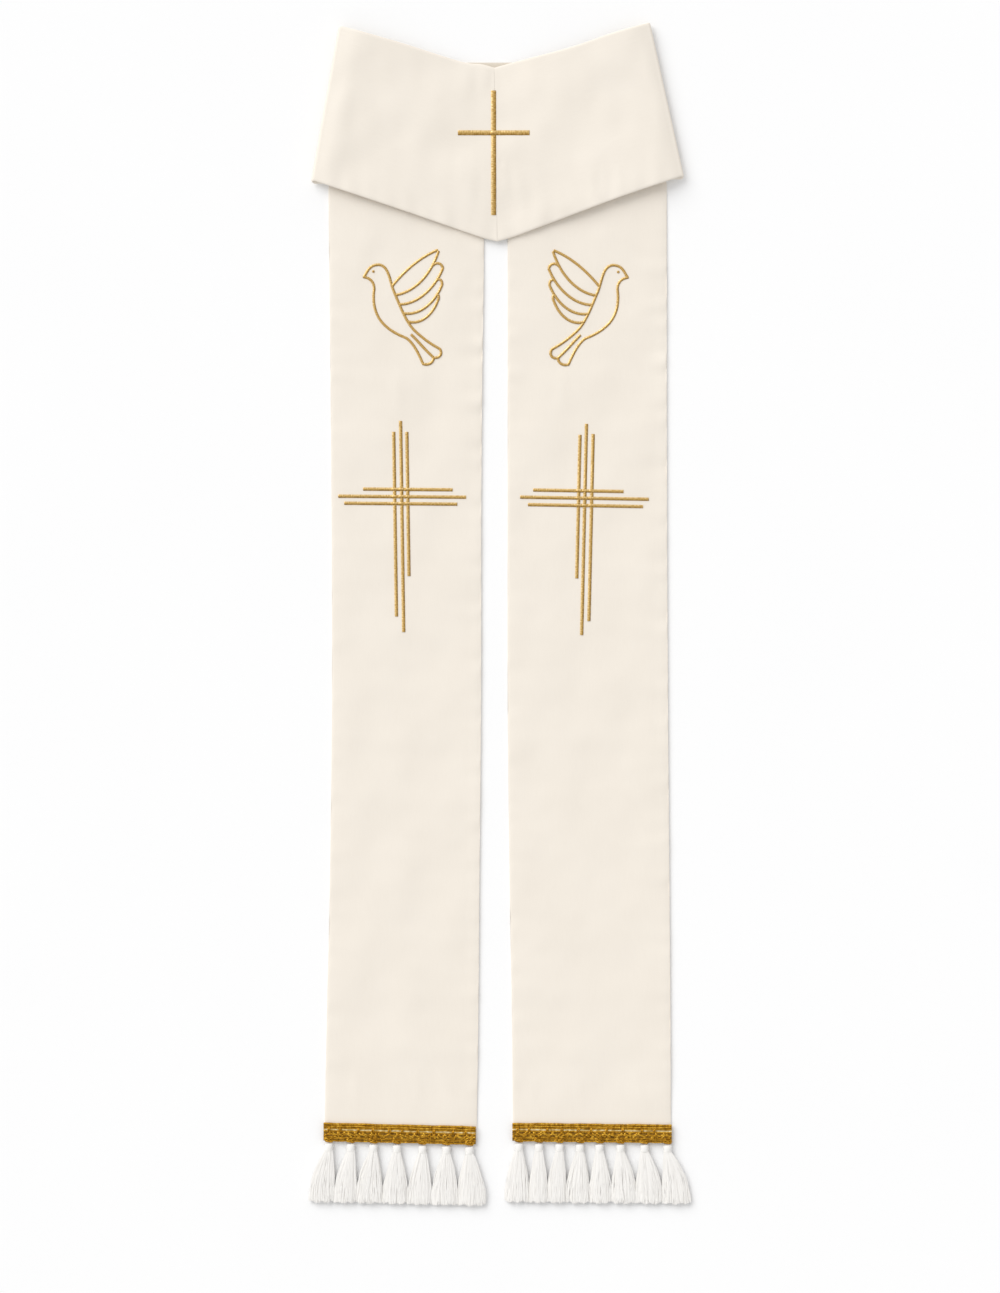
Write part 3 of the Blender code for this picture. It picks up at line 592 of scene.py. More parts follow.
# Soft creases of the neck: x, y of both ends, height and half width
NECK_CREASES = (
    (-35, 553, -33, 512, 0.34, 7.5),
    (-15, 549, -17, 518, 0.26, 6.0),
    (-24, 549, -25, 520, -0.26, 5.0),
    (1, 545, 15, 512, 0.40, 6.0),
    (-9, 545, -10, 522, -0.26, 3.1),
    (-39, 466, -38, 430, 0.29, 5.0),
    (-26, 470, -32, 392, 0.34, 6.4),
    (-17, 474, -14, 380, 0.18, 5.0),
    (3, 456, 6, 418, 0.36, 4.4),
    (-1, 455, 2, 447, -0.36, 2.0),
    (14, 452, 25, 394, 0.41, 5.6),
    (26, 440, 36, 408, -0.24, 5.0),
    (90, 446, 93, 412, 0.41, 5.0),
    (103, 448, 105, 416, 0.36, 4.4),
    (117, 450, 121, 422, 0.29, 4.4),
    (70, 440, 72, 404, 0.20, 5.0),
    (-140, 605, -176, 405, 0.72, 15.0),
    (-160, 470, -120, 452, 0.26, 11.2),
    (-138, 560, -96, 470, -0.72, 25.0),
    (-112, 480, -70, 430, -0.43, 18.8),
    (-60, 510, -30, 470, 0.36, 15.0),
    (60, 555, 110, 470, -0.72, 27.5),
    (20, 520, 48, 452, 0.36, 16.2),
    (128, 560, 152, 470, 0.29, 15.0),
    (-160, 421, -8, 384, 0.34, 11.2),
    (-2, 384, 158, 438, 0.34, 11.2),
    (-152, 528, -128, 508, 0.20, 10.0),
)


def smooth_column(wanted, places, values):
    """Cubic spans through a table's values, their slopes the mean of the steps beside them."""
    i = np.clip(np.searchsorted(places, wanted) - 1, 0, len(places) - 2)
    step = places[i + 1] - places[i]
    slopes = np.gradient(values, places)
    leave, arrive = step * slopes[i], step * slopes[i + 1]
    return cubic_span((wanted - places[i]) / step, values[i], values[i + 1], leave, arrive)


def neck_middle_height(side, share, down):
    """Height of the shown half's middle: smooth along it, a parabola down each section."""
    table = np.array(NECK_HEIGHTS[side])
    upper, middle, lower = (smooth_column(share, table[:, 0], table[:, i]) for i in (1, 2, 3))
    bend = 2 * (upper + lower - 2 * middle)
    slope = 4 * middle - lower - 3 * upper
    return upper + slope * down + bend * down**2 + HALF_CLOTH


def neck_relief(x, y):
    """Height of the neck's swells and creases and of the ripples along its lower edge, less
    what makes both halves run flat into their seam."""
    edge = np.array(NECK_LOWER["left"] + NECK_LOWER["right"][::-1])
    from_edge = np.maximum(y - np.interp(x, edge[:, 0], edge[:, 1]), 0)
    relief = edge_pucker(from_edge, x, NECK_PUCKER_PHASE, NECK_PUCKER_REACH)
    from_seam = np.abs(x - np.interp(y, *SEAM_LINE))
    relief -= np.interp(y, *SEAM_SLOPES) * from_seam * np.exp(-((from_seam / SEAM_FLAT) ** 2))
    relief += NECK_SWELL * soft_swells(x, y, NECK_SEED) + crease_height(x, y, NECK_CREASES)
    return relief


def surface_normals(grid):
    """Unit normals of a grid of points, from its steps along and across."""
    normals = np.cross(np.gradient(grid, axis=0), np.gradient(grid, axis=1))
    return normals / np.linalg.norm(normals, axis=2, keepdims=True)


def make_neck(side):
    """Half of the neck as a closed wall round a middle surface. Its sections are straight
    lines between two edge curves, first low, over the diagonal fold, out, over and back."""
    upper, lower, bulge = diagonal_frame(side)
    down = (rim_places(NECK_WIDTH, NECK_COLUMN_STEP) / NECK_WIDTH)[None]
    middle_height, turn = MIDDLE_UNDER + HALF_CLOTH, MIDDLE_UNDER / 2
    back = np.array(NECK_BACK_STEPS)[:, None]
    angle = np.linspace(-math.pi / 2, math.pi / 2, DIAGONAL_STEPS + 1)[:, None]
    out = np.vstack([-back, turn * np.cos(angle)]) * bulge
    low = np.vstack([back * 0 + HALF_CLOTH, HALF_CLOTH + turn + turn * np.sin(angle)])

    rim = (RIM_STEPS[::-1] / NECK_REACH)[:, None]
    shares = np.vstack([np.linspace(0, 1 - rim[0, 0], SHOWN_RINGS)[:-1, None], 1 - rim])
    shown_near = smooth_line(NECK_UPPER[side], shares[:, 0])
    shown_far = smooth_line(NECK_LOWER[side], shares[:, 0])
    roll_near, roll_far = shown_near[0], shown_far[0] - (0.0, ROLL_SKEW)
    outwards = np.linspace(0, 1, MIDDLE_RINGS + 1)[1:, None]
    middle_near = upper + (roll_near - upper) * outwards
    middle_far = lower + (roll_far - lower) * outwards

    shown = neck_middle_height(side, shares, down)
    fold = (shown_far[0] - shown_near[0]) / np.linalg.norm(shown_far[0] - shown_near[0])
    outward = SIGNS[side] * np.array([fold[1], -fold[0]])
    rise = (shown[:1] - middle_height) / 2
    over = np.linspace(-math.pi / 2, math.pi / 2, ROLL_STEPS + 1)[1:-1, None]
    part = (np.sin(over) + 1) / 2
    near = np.vstack([upper + out, middle_near, roll_near + 0 * part, shown_near])
    far_roll = roll_far + (shown_far[0] - roll_far) * part
    far = np.vstack([lower + out, middle_far, far_roll, shown_far])
    level = middle_height + 0 * outwards * down
    heights = np.vstack([low + 0 * down, level, middle_height + rise * (1 + np.sin(over)), shown])
    surface = np.dstack([between(near, far, down), heights])
    first_roll = len(low) + MIDDLE_RINGS
    first_shown = first_roll + len(over)
    swing = ROLL_STRETCH * rise * np.cos(over)
    surface[first_roll:first_shown, :, :2] += swing[..., None] * outward
    relief = neck_relief(surface[first_shown:, :, 0], surface[first_shown:, :, 1])
    surface[first_shown:, :, 2] += relief * np.clip(shares / ROLL_SHARE, 0, 1)

    from_edge = np.minimum(down, 1 - down) * NECK_WIDTH
    half = HALF_CLOTH * rolled(from_edge, NECK_EDGE_ROLL, NECK_EDGE_POWER)
    half = half * np.ones((len(near), 1))
    to_centre = np.concatenate([np.full(first_shown, SEAM_ROLL), (1 - shares[:, 0]) * NECK_REACH])
    half *= 1 - SEAM_DIP * (1 - rolled(to_centre, SEAM_ROLL, ROUND_POWER)[:, None])
    thick = surface_normals(surface) * half[..., None]
    near_point = surface[:, 0] + (surface[:, 0] - surface[:, 1]) * NECK_RIM
    far_point = surface[:, -1] + (surface[:, -1] - surface[:, -2]) * NECK_RIM
    sections = wall_sections(surface + thick, far_point, surface - thick, near_point)
    seam_x = np.interp(sections[-1, :, 1], *SEAM_LINE)
    sections[-1, :, 0] = seam_x - SIGNS[side] * SEAM_CLEAR
    sections[..., 2] = np.maximum(sections[..., 2], 0)
    run = run_along(surface[:, surface.shape[1] // 2])[:, None]
    across = np.hstack([down, [[1.0]], down[:, ::-1], [[0.0]]]) * NECK_WIDTH
    lay = stacked(across, run) * MM
    return add_wall(f"{side}_neck", "face_cloth", sections, lay, face_cloth)


necks = {side: make_neck(side) for side in NECK_UPPER}


# The strip of lining behind the notch: thin smooth cloth of a slightly deeper cream, with
# its folded edge uppermost. It lies flat on the floor and goes in under both neck halves.

LINING_ROWS = (
    (551.9, -46.0, 14.0),
    (538.0, -38.0, 12.0),
    (522.0, -30.0, 8.0),
)
LINING_THICKNESS = 1.2
LINING_THINNING = 0.07
LINING_EDGE = 0.5
LINING_ROLL = 1.6
LINING_RIPPLE = 0.06
LINING_WAVE = 2.9
LINING_WAVE_START = 3.0
LINING_COLUMNS = 41
LINING_RIM_STEPS = (0.02, 0.2, 0.5, 0.9, 1.5, 2.4)
LINING_STEPS = (3.5, 30.4, 16)

lining_cloth = cloth_material(
    "cream lining", (0.80, 0.73, 0.63), (0.70, 0.63, 0.53), 6800, 0.5, 0.2
)


def make_lining():
    """Thin closed wall between two end lines, its upper edge rolled and its top wavy."""
    rows = np.array(LINING_ROWS)
    depth = np.concatenate([LINING_RIM_STEPS, np.linspace(*LINING_STEPS)])
    y = rows[0, 0] - depth
    near, far = (np.interp(-y, -rows[:, 0], rows[:, i]) for i in (1, 2))
    share = np.linspace(0, 1, LINING_COLUMNS)[None]
    x = near[:, None] * (1 - share) + far[:, None] * share
    rise = rolled(depth[:, None], LINING_ROLL, ROUND_POWER)
    start = np.clip(depth[:, None] / LINING_WAVE_START, 0, 1)
    ripple = LINING_RIPPLE * np.sin(x / LINING_WAVE) * start
    half = LINING_THICKNESS / 2
    top, foot = (
        stacked(x, y[:, None], height)
        for height in (half + (half - LINING_THINNING) * rise + ripple, half - half * rise)
    )
    ends = (far + LINING_EDGE, near - LINING_EDGE)
    far_point, near_point = (np.column_stack([end, y, half + 0 * y]) for end in ends)
    sections = wall_sections(top, far_point, foot, near_point)
    return add_wall("neck_lining", "lining", sections, sections[..., :2] * MM, lining_cloth)


lining = make_lining()


# The crosses: bars of gold satin stitch. Each bar is a padded ridge of threads that run
# across it at a slant, sewn close together through the cloth; the level bars are sewn over
# the upright ones and ride up where they cross.

STITCH = 0.62
STITCH_SLANT = 0.55
STITCH_RIDGE = 0.1
SATIN_HEIGHT = 0.8
SATIN_LIFT = 0.03
SATIN_ARCH = 8
SATIN_FOOT = 0.93
SATIN_RIM = 0.1
SATIN_END = 0.45
THREAD_UNEVEN = 0.03
CREST_WIDE = 0.03
CROSSING_RISE = 0.55
CROSSING_REACH = 2.9

# Bars as middle of the bar, start and end; lean and slope as rise per millimetre
CROSSES = {
    "left_cross": {
        "centre": (-98.4, 117.0),
        "lean": -0.015,
        "slope": -0.0085,
        "width": 3.4,
        "upright": ((-7.4, -119.0, 65.5), (-0.4, -134.5, 76.5), (5.7, -78.5, 65.5)),
        "across": ((8.1, -38.8, 50.6), (0.8, -63.8, 64.0), (-6.2, -57.9, 55.0)),
    },
    "right_cross": {
        "centre": (84.2, 115.5),
        "lean": 0.023,
        "slope": -0.017,
        "width": 3.4,
        "upright": ((-6.2, -79.5, 64.0), (0.0, -136.0, 75.0), (6.9, -122.0, 65.0)),
        "across": ((8.1, -51.7, 38.6), (0.8, -64.5, 63.9), (-6.6, -56.6, 58.4)),
    },
    "neck_cross": {
        "centre": (-6.9, 481.1),
        "lean": 0.0,
        "slope": 0.0,
        "width": 5.0,
        "upright": ((0.0, -82.1, 42.4),),
        "across": ((0.0, -35.6, 35.9),),
    },
}


def neck_top(x, y):
    """Height of the neck's upper face over points of the plan. The share along the half and
    the share down its section are found by turns until the straight section meets the point."""
    height = np.zeros_like(x)
    for side in NECK_UPPER:
        share_table = np.linspace(0, 1, 400)
        near = smooth_line(NECK_UPPER[side], share_table)
        far = smooth_line(NECK_LOWER[side], share_table)
        share, down = np.full_like(x, 0.9), np.full_like(x, 0.5)
        for _ in range(14):
            near_x, far_x = (np.interp(share, share_table, row[:, 0]) for row in (near, far))
            line_x = near_x + (far_x - near_x) * down
            share = np.clip(share + SIGNS[side] * (x - line_x) / NECK_REACH, 0, 1)
            near_y, far_y = (np.interp(share, share_table, row[:, 1]) for row in (near, far))
            down = np.clip((y - near_y) / (far_y - near_y), 0, 1)
        found = neck_middle_height(side, share, down) + HALF_CLOTH
        on_right = x > np.interp(y, *SEAM_LINE)
        height = np.where(on_right == (side == "right"), found, height)
    return height + neck_relief(x, y)


def panel_top(x, y):
    """Height of a panel's upper face away from its edges."""
    return CLOTH + panel_relief(x, y)


def even_line(line, step):
    """The same line of points, set evenly at about the given step along its length, the
    length up to each point, and the line's heading there."""
    line = np.asarray(line, float)
    run = run_along(line)
    wanted = np.linspace(0, run[-1], max(4, round(run[-1] / step)) + 1)
    line = np.column_stack([np.interp(wanted, run, column) for column in line.T])
    heading = np.gradient(line, axis=0)
    return line, wanted, heading / np.linalg.norm(heading, axis=1, keepdims=True)


def tube_faces(rings, around):
    """Faces of a closed tube: quads along it and one flat face over each end."""
    ring = np.arange(around)
    return side_faces(rings, around), np.array([ring[::-1], ring + (rings - 1) * around])


def satin_stroke(line, width, cloth_height, draw, rise=None, tip=0.55):
    """One stroke of satin stitch. Each ring is an arch over the cloth, sheared along the
    stroke by its place across it, save at both ends; every other ring is a thread's crest
    and the rest are the gaps between. tip is the share of its width that the stroke keeps at
    its ends, and draw the random source that makes the threads a little uneven. The first
    number of a point's lay is its place across, counted towards the lower right, so that the
    thread material paints shade on the lower right side of each stroke and a painted
    highlight on its upper left side, as the lamp at the upper left would light it."""
    line, run, heading = even_line(line, STITCH / 2)
    across = np.column_stack([-heading[:, 1], heading[:, 0]])
    to_end = np.minimum(run, run[-1] - run)
    taper = rolled(to_end + 0.25, width / 2, ROUND_POWER)
    crest = np.where(np.arange(len(line)) % 2 == 0, 1.0, -1.0)
    uneven = 1 + THREAD_UNEVEN * draw.standard_normal(len(line))
    half = width / 2 * (tip + (1 - tip) * taper) * uneven * (1 + CREST_WIDE * crest)
    tall = SATIN_HEIGHT * (SATIN_END + (1 - SATIN_END) * taper) * (1 + STITCH_RIDGE * crest)
    angle = np.linspace(0, math.pi, SATIN_ARCH)
    place = np.concatenate([-np.cos(angle), [SATIN_FOOT, -SATIN_FOOT]])[None]
    lift = np.concatenate([SATIN_RIM + (1 - SATIN_RIM) * np.sin(angle), [0.0, 0.0]])[None]
    sideways = half[:, None] * place
    slant = STITCH_SLANT * sideways * np.clip(to_end / width, 0, 1)[:, None]
    plan = line[:, None] + across[:, None] * sideways[..., None]
    plan = plan + heading[:, None] * slant[..., None]
    base = cloth_height(plan[..., 0], plan[..., 1]) + SATIN_LIFT
    ride_up = rise(run)[:, None] if rise else 0.0
    z = base + (tall[:, None] + ride_up) * lift
    # Painted shade: +1 on the side of a stroke that faces the lower right and -1 on the side that
    # faces the upper left; the thread material darkens the first and lightens the second, as the
    # lamp at the upper left would light them
    shaded = np.clip(across @ (1.0, -1.0), -1, 1)[:, None]
    return np.dstack([plan, z]), np.dstack([place * shaded, run[:, None] + slant])


def join_tubes(parts):
    """Points, lay and faces of several tubes, numbered one after another."""
    quads, ends, count = [], [], 0
    for points, _ in parts:
        rings, around = points.shape[:2]
        side, caps = tube_faces(rings, around)
        quads.append(side + count)
        ends.append(caps + count)
        count += rings * around
    widths = sorted({cap.shape[1] for cap in ends})
    faces = [np.concatenate(quads)]
    faces += [np.concatenate([cap for cap in ends if cap.shape[1] == n]) for n in widths]
    points = np.concatenate([part[0].reshape(-1, 3) for part in parts])
    return points, np.concatenate([part[1].reshape(-1, 2) for part in parts]), faces


def build_thread_group():
    """Lustrous thread: noise that is drawn out along the thread gives its tone, and fine
    lines along it give the bump. The lay runs across the thread first and then along it."""
    numbers = ("Threads", "Length", "Shade", "Blotch")
    group, given, lay = new_group("lustrous thread", numbers, ("Tone", "Height", "Wear"))
    joined = group.nodes.new("ShaderNodeCombineXYZ")
    for i, label in enumerate(("Length", "Threads")):
        way = math_node(group, "MULTIPLY", lay[i], given[label])
        group.links.new(way, joined.inputs[i])
    tone = noise_node(group, joined.outputs[0], 1.0, 2)
    fibre = noise_node(group, joined.outputs[0], 4.0, 1, (0.4, 1, 1))
    blotch = math_node(group, "SUBTRACT", noise_node(group, given["Place"], 330, 2), 0.5)
    tone = math_node(group, "MULTIPLY_ADD", blotch, given["Blotch"], tone)
    # Painted shade and highlight: the tone changes by Shade times the lay's first number, so with
    # a negative Shade it falls towards the lower right side of a satin stroke and rises towards
    # its upper left side
    tone = math_node(group, "MULTIPLY_ADD", lay[0], given["Shade"], tone)
    wear = noise_node(group, given["Place"], 60, 2)
    return end_group(group, Tone=tone, Height=fibre, Wear=wear)


thread_group = build_thread_group()


def thread_material(name, golds, surface, threads, length, spread, shade=0.0, blotch=0.0):
    """Gold thread: three golds, dark to bright, mixed by the thread's tone. surface is its
    roughness and metal, shade how much painted shade lowers the tone from the middle of a
    satin stroke to its lower right side, and how much a painted highlight raises it towards
    its upper left side, and blotch how much the tone changes from place to place."""
    deep, middle, bright = golds
    material, shader = new_material(name, middle, *surface)
    tree = material.node_tree
    numbers = {"Threads": threads, "Length": length, "Shade": -shade, "Blotch": blotch}
    thread = group_outputs(tree, thread_group, **numbers)
    ramp = tree.nodes.new("ShaderNodeValToRGB")
    stops = ((0.5 - spread, deep), (0.5, middle), (0.5 + spread, bright))
    ramp.color_ramp.elements.new(0.5)
    for element, (position, colour) in zip(ramp.color_ramp.elements, stops):
        element.position = position
        element.color = (*colour, 1)
    tree.links.new(thread["Tone"], ramp.inputs[0])
    colour, wear, height = ramp.outputs["Color"], thread["Wear"], thread["Height"]
    link_surface(tree, shader, colour, wear, 0.24, surface[0], height, 0.4, 0.00006)
    return material


gold_thread = thread_material(
    "gold embroidery thread",
    ((0.30, 0.155, 0.022), (0.62, 0.375, 0.095), (0.95, 0.72, 0.36)),
    surface=(0.36, 0.55),
    threads=1 / STITCH,
    length=0.7,
    spread=0.2,
    # painted shade on the lower right side of each stroke, painted highlight on its upper left
    # side
    shade=0.19,
)


def add_tubes(name, node, slot, parts, material):
    """A piece of several tubes."""
    points, lay, faces = join_tubes(parts)
    return add_piece(name, node, slot, points, faces, lay, material)


def make_cross(name, draw):
    """Crossing bars of satin stitch, the level bars riding up over the upright ones."""
    plan = CROSSES[name]
    width, lean, slope, centre = plan["width"], plan["lean"], plan["slope"], plan["centre"]
    cloth_height = neck_top if name == "neck_cross" else panel_top
    uprights = np.array(plan["upright"])
    parts = []
    for middle, *ends in plan["upright"]:
        ys = np.array(ends)
        line = np.column_stack([middle + lean * ys, ys + slope * middle]) + centre
        parts.append(satin_stroke(line, width, cloth_height, draw, tip=1.0))
    for middle, *ends in plan["across"]:
        xs = np.array(ends)
        line = np.column_stack([xs + lean * middle, middle + slope * xs]) + centre
        met = uprights[(uprights[:, 1] < middle) & (uprights[:, 2] > middle), 0] - xs[0]

        def rise(run, met=met):
            """A flat-topped bell over each upright bar that the level bar meets."""
            bells = np.exp(-(((run[:, None] - met) / CROSSING_REACH) ** 4))
            return CROSSING_RISE * bells.max(axis=1)

        parts.append(satin_stroke(line, width, cloth_height, draw, rise, tip=1.0))
    return add_tubes(f"{name}_stitches", name, "gold_thread", parts, gold_thread)


crosses = {name: make_cross(name, np.random.default_rng(11)) for name in CROSSES}


# The doves: one on each panel, in narrow outline strokes of the same satin stitch, which
# swell in the middle and thin out at both ends, with a knot for the eye.

DOVE_STROKE = 2.7
DOVE_EYE = (-30.6, 36.4)
DOVE_EYE_RADIUS = 0.62
DOVE_EYE_STROKE = 1.5
STROKE_STEP_UP = 0.015
DOVE_MIDDLES = {"left_dove": (-96.5, 306.5), "right_dove": (87.0, 306.0)}

# Strokes from the bird's middle: start, two handles and end of a curve
DOVE_STROKES = (
    ((-41.0, 31.0), (-33.0, 30.0), (-29.0, 25.0), (-30.0, 16.5)),
    ((-30.0, 17.5), (-33.0, -10.0), (-18.0, -22.0), (2.0, -30.0)),
    ((1.2, -29.6), (8.0, -33.0), (14.0, -44.0), (19.0, -56.0)),
    ((-40.4, 30.8), (-37.0, 34.0), (-36.0, 43.0), (-25.5, 43.2)),
    ((-26.5, 43.3), (-14.0, 43.0), (-15.0, 26.0), (-9.0, 14.0)),
    ((-9.5, 15.0), (-4.0, 2.0), (2.0, -14.0), (10.0, -22.0)),
    ((9.4, -21.5), (16.0, -28.0), (26.0, -36.0), (36.0, -41.0)),
    ((-12.0, 21.5), (-2.0, 34.0), (14.0, 50.0), (34.0, 58.0)),
    ((-8.6, 12.9), (8.0, 15.0), (26.0, 30.0), (34.6, 57.0)),
    ((-4.7, 3.6), (11.0, 3.0), (30.0, 17.0), (39.0, 40.0)),
    ((28.6, 42.0), (31.0, 45.5), (37.5, 46.0), (38.9, 39.4)),
    ((-0.7, -5.4), (14.0, -8.0), (30.0, 3.0), (38.0, 23.0)),
    ((32.2, 27.0), (34.5, 30.0), (38.5, 28.5), (38.0, 22.4)),
    ((3.7, -13.6), (15.0, -17.0), (28.0, -9.0), (34.0, 8.0)),
    ((31.9, 11.8), (33.5, 14.5), (35.5, 12.5), (34.0, 7.4)),
    ((7.0, -26.5), (13.0, -32.0), (20.0, -41.0), (30.0, -50.0)),
    ((35.4, -40.6), (39.0, -45.0), (36.0, -51.0), (29.4, -49.6)),
    ((29.6, -49.4), (29.5, -55.0), (24.0, -58.0), (18.4, -55.7)),
)


def curve_points(curve):
    """Cubic curve between two ends with two handles, as a dense line of points."""
    start, leave, arrive, stop = (np.array(point) for point in curve)
    t = np.linspace(0, 1, 200)[:, None]
    from_ends = (1 - t) ** 3 * start + t**3 * stop
    return from_ends + 3 * (1 - t) ** 2 * t * leave + 3 * (1 - t) * t**2 * arrive


def make_dove(name, draw):
    """Outline strokes of one bird and a small ring of stitches for its eye."""
    mirror = (SIGNS[name.split("_")[0]], 1)
    middle = np.array(DOVE_MIDDLES[name])
    parts = []
    for place, curve in enumerate(DOVE_STROKES):
        line = curve_points(curve) * mirror + middle
        points, lay = satin_stroke(line, DOVE_STROKE, panel_top, draw)
        points[..., 2] += STROKE_STEP_UP * place
        parts.append((points, lay))
    turn = np.linspace(0, 2 * math.pi, 60)
    ring = DOVE_EYE_RADIUS * np.column_stack([np.cos(turn), np.sin(turn)]) + DOVE_EYE
    parts.append(satin_stroke(ring * mirror + middle, DOVE_EYE_STROKE, panel_top, draw))
    return add_tubes(f"{name}_stitches", name, "gold_thread", parts, gold_thread)


doves = {name: make_dove(name, np.random.default_rng(23)) for name in DOVE_MIDDLES}


# The braids: crocheted gold cord sewn over each hem. Two twisted cords make its upper edge,
# then come a row of long slots, a chain of interlaced loops, thin arcs between the tassels
# and a small knotted foot over each tassel.

BRAID_BACK = CLOTH + 0.35
BRAIDS = {
    "left": ((-177.5, -24.0), (-507.6, -511.4)),
    "right": ((11.2, 171.8), (-507.8, -509.6)),
}
BRAID_WIDTH = 15.5
FOOT_LENGTH = 5.0

# Cords: distance between rings, sides, plies and the length of one ply's turn
THICK_CORD = (0.62, 9, 3, 3.4)
CHAIN_CORD = (0.66, 8, 2, 2.6)
THIN_CORD = (0.7, 7, 2, 2.6)
FINE_CORD = (0.7, 6, 2, 2.6)

# Straight cords of the braid: depth below its upper edge, radius, height, wander
BRAID_CORDS = (
    (1.25, 1.2, 1.25, 0.22),
    (3.5, 1.15, 1.3, 0.2),
    (5.3, 0.75, 1.0, 0.15),
    (8.4, 0.85, 1.1, 0.22),
    (14.6, 0.8, 0.9, 0.25),
)

# Flat threads under the cords: middle depth, half width, height. The backing's threads are
# coloured a darker gold than the cords, as painted shade in the hollows under and between them.
BACKING = ((3.1, 2.7, 0.9), (11.8, 3.5, 0.8), (16.2, 2.0, 0.8))
FLOATS = ((7.0, 1.0, 1.45),)
FLAT_SIDES = 10
CHAIN_MIDDLE = 11.6
CHAIN_REACH = 2.1
CHAIN_LENGTH = 10.6
CHAIN_RADIUS = 0.92
CHAIN_SWING = 1.9
CHAIN_INSET = 2.5
CHAIN_LIFT = 0.5
CHAIN_WAVE = 0.55
CORD_INSET = 0.6
CORD_VALLEY = 0.86
CORD_SWELL = 0.2
CORD_END = 0.4
UNEVEN = 0.3
SLOT_LENGTH = 15.5

# A slot's two bars, and the small stitches between two feet: a span is the depth where they
# start and how far they run down
SLOT_SPAN = (4.3, 5.2)
SLOT_BARS = (-0.9, 0.7)
SLOT_SPREAD = 2.4
SLOT_LEAN = 1.3
SLOT_CORD = 0.7
STITCH_SPAN = (14.4, 3.4)
STITCH_SHARES = (0.33, 0.64)
STITCH_LEAN = 1.2
STITCH_CORD = 0.5
FOOT_INSET = 4.6
FOOT_CORD = 0.72

# Arcs between the tassels: depth, radius, sag
BRAID_ARCS = ((17.6, 0.75, 0.5), (16.1, 0.5, -0.4))

# The two crossed cords of a foot: half width, depth, lean, radius
FOOT_CROSSING = (3.2, 17.0, 1.7, 0.6)

# Loops of a foot: depth, half width, half height, height over the backing
FOOT_LOOPS = ((15.6, 4.0, 0.95, 1.1), (17.2, 4.3, 1.0, 1.4), (18.6, 3.8, 0.5, 0.9))

# Tassels: x of the head, x of the skirt's two bottom corners
TASSELS = {
    "left": (
        (-171.5, -191.0, -166.2),
        (-149.5, -166.4, -144.9),
        (-127.0, -143.9, -118.4),
        (-103.5, -117.4, -93.6),
        (-78.0, -92.4, -69.8),
        (-54.0, -68.8, -43.6),
        (-31.0, -42.4, -16.0),
    ),
    "right": (
        (18.5, 5.5, 27.8),
        (38.5, 29.0, 46.6),
        (59.0, 47.6, 65.0),
        (79.5, 66.0, 88.6),
        (99.0, 89.8, 110.0),
        (120.0, 111.2, 135.4),
        (144.0, 136.4, 161.6),
        (167.0, 162.6, 189.0),
    ),
}

# The backing is the braid's own gold thread, coloured darker than the cords as painted shade in
# the hollows under and between them
backing_in_painted_shade = thread_material(
    "gold backing in painted shade",
    ((0.15, 0.07, 0.003), (0.31, 0.155, 0.008), (0.44, 0.24, 0.02)),
    surface=(0.5, 0.5),
    threads=1.4,
    length=2.0,
    spread=0.2,
    blotch=1.0,
)
float_thread = thread_material(
    "pale gold floats",
    ((0.46, 0.29, 0.06), (0.70, 0.52, 0.20), (0.92, 0.80, 0.50)),
    surface=(0.38, 0.4),
    threads=0.12,
    length=1.5,
    spread=0.2,
    blotch=1.2,
)
gold_braid = thread_material(
    "gold braid cord",
    ((0.25, 0.115, 0.003), (0.53, 0.255, 0.008), (0.82, 0.51, 0.06)),
    surface=(0.36, 0.7),
    threads=0.8,
    length=3.0,
    spread=0.18,
    blotch=0.7,
)


def circle_angles(count):
    """Even steps of angle round a whole circle."""
    return np.linspace(0, 2 * math.pi, count, endpoint=False)


def twisted_cord(line, radius, shape):
    """Cord of a few plies along a line: each ring is a circle whose radius swells once for
    each ply, turned a little further along the line."""
    step, around, plies, twist = shape
    line, run, heading = even_line(line, step)
    level = np.cross(heading, (0.0, 0.0, 1.0))
    level /= np.linalg.norm(level, axis=1, keepdims=True)
    rising = np.cross(level, heading)
    angle = circle_angles(around)[None]
    turned = angle - 2 * math.pi * run[:, None] / twist / plies
    end = np.minimum(run, run[-1] - run)[:, None]
    swell = radius * (CORD_VALLEY + CORD_SWELL * np.abs(np.cos(plies * turned / 2)))
    swell = swell * (CORD_END + (1 - CORD_END) * rolled(end + 0.1, radius, ROUND_POWER))
    side, up = (swell * np.cos(angle))[..., None], (swell * np.sin(angle))[..., None]
    points = line[:, None] + level[:, None] * side + rising[:, None] * up
    return points, stacked(turned * plies / (2 * math.pi), run[:, None])


def wander(x, amount, phase):
    """Slow uneven drift along a length, as a sum of three sines."""
    drift = np.sin(x / 7.3 + phase) + 0.7 * np.sin(x / 3.1 + 2.1 * phase)
    return amount * (drift + 0.6 * np.sin(x / 16.7 - phase)) / 1.6


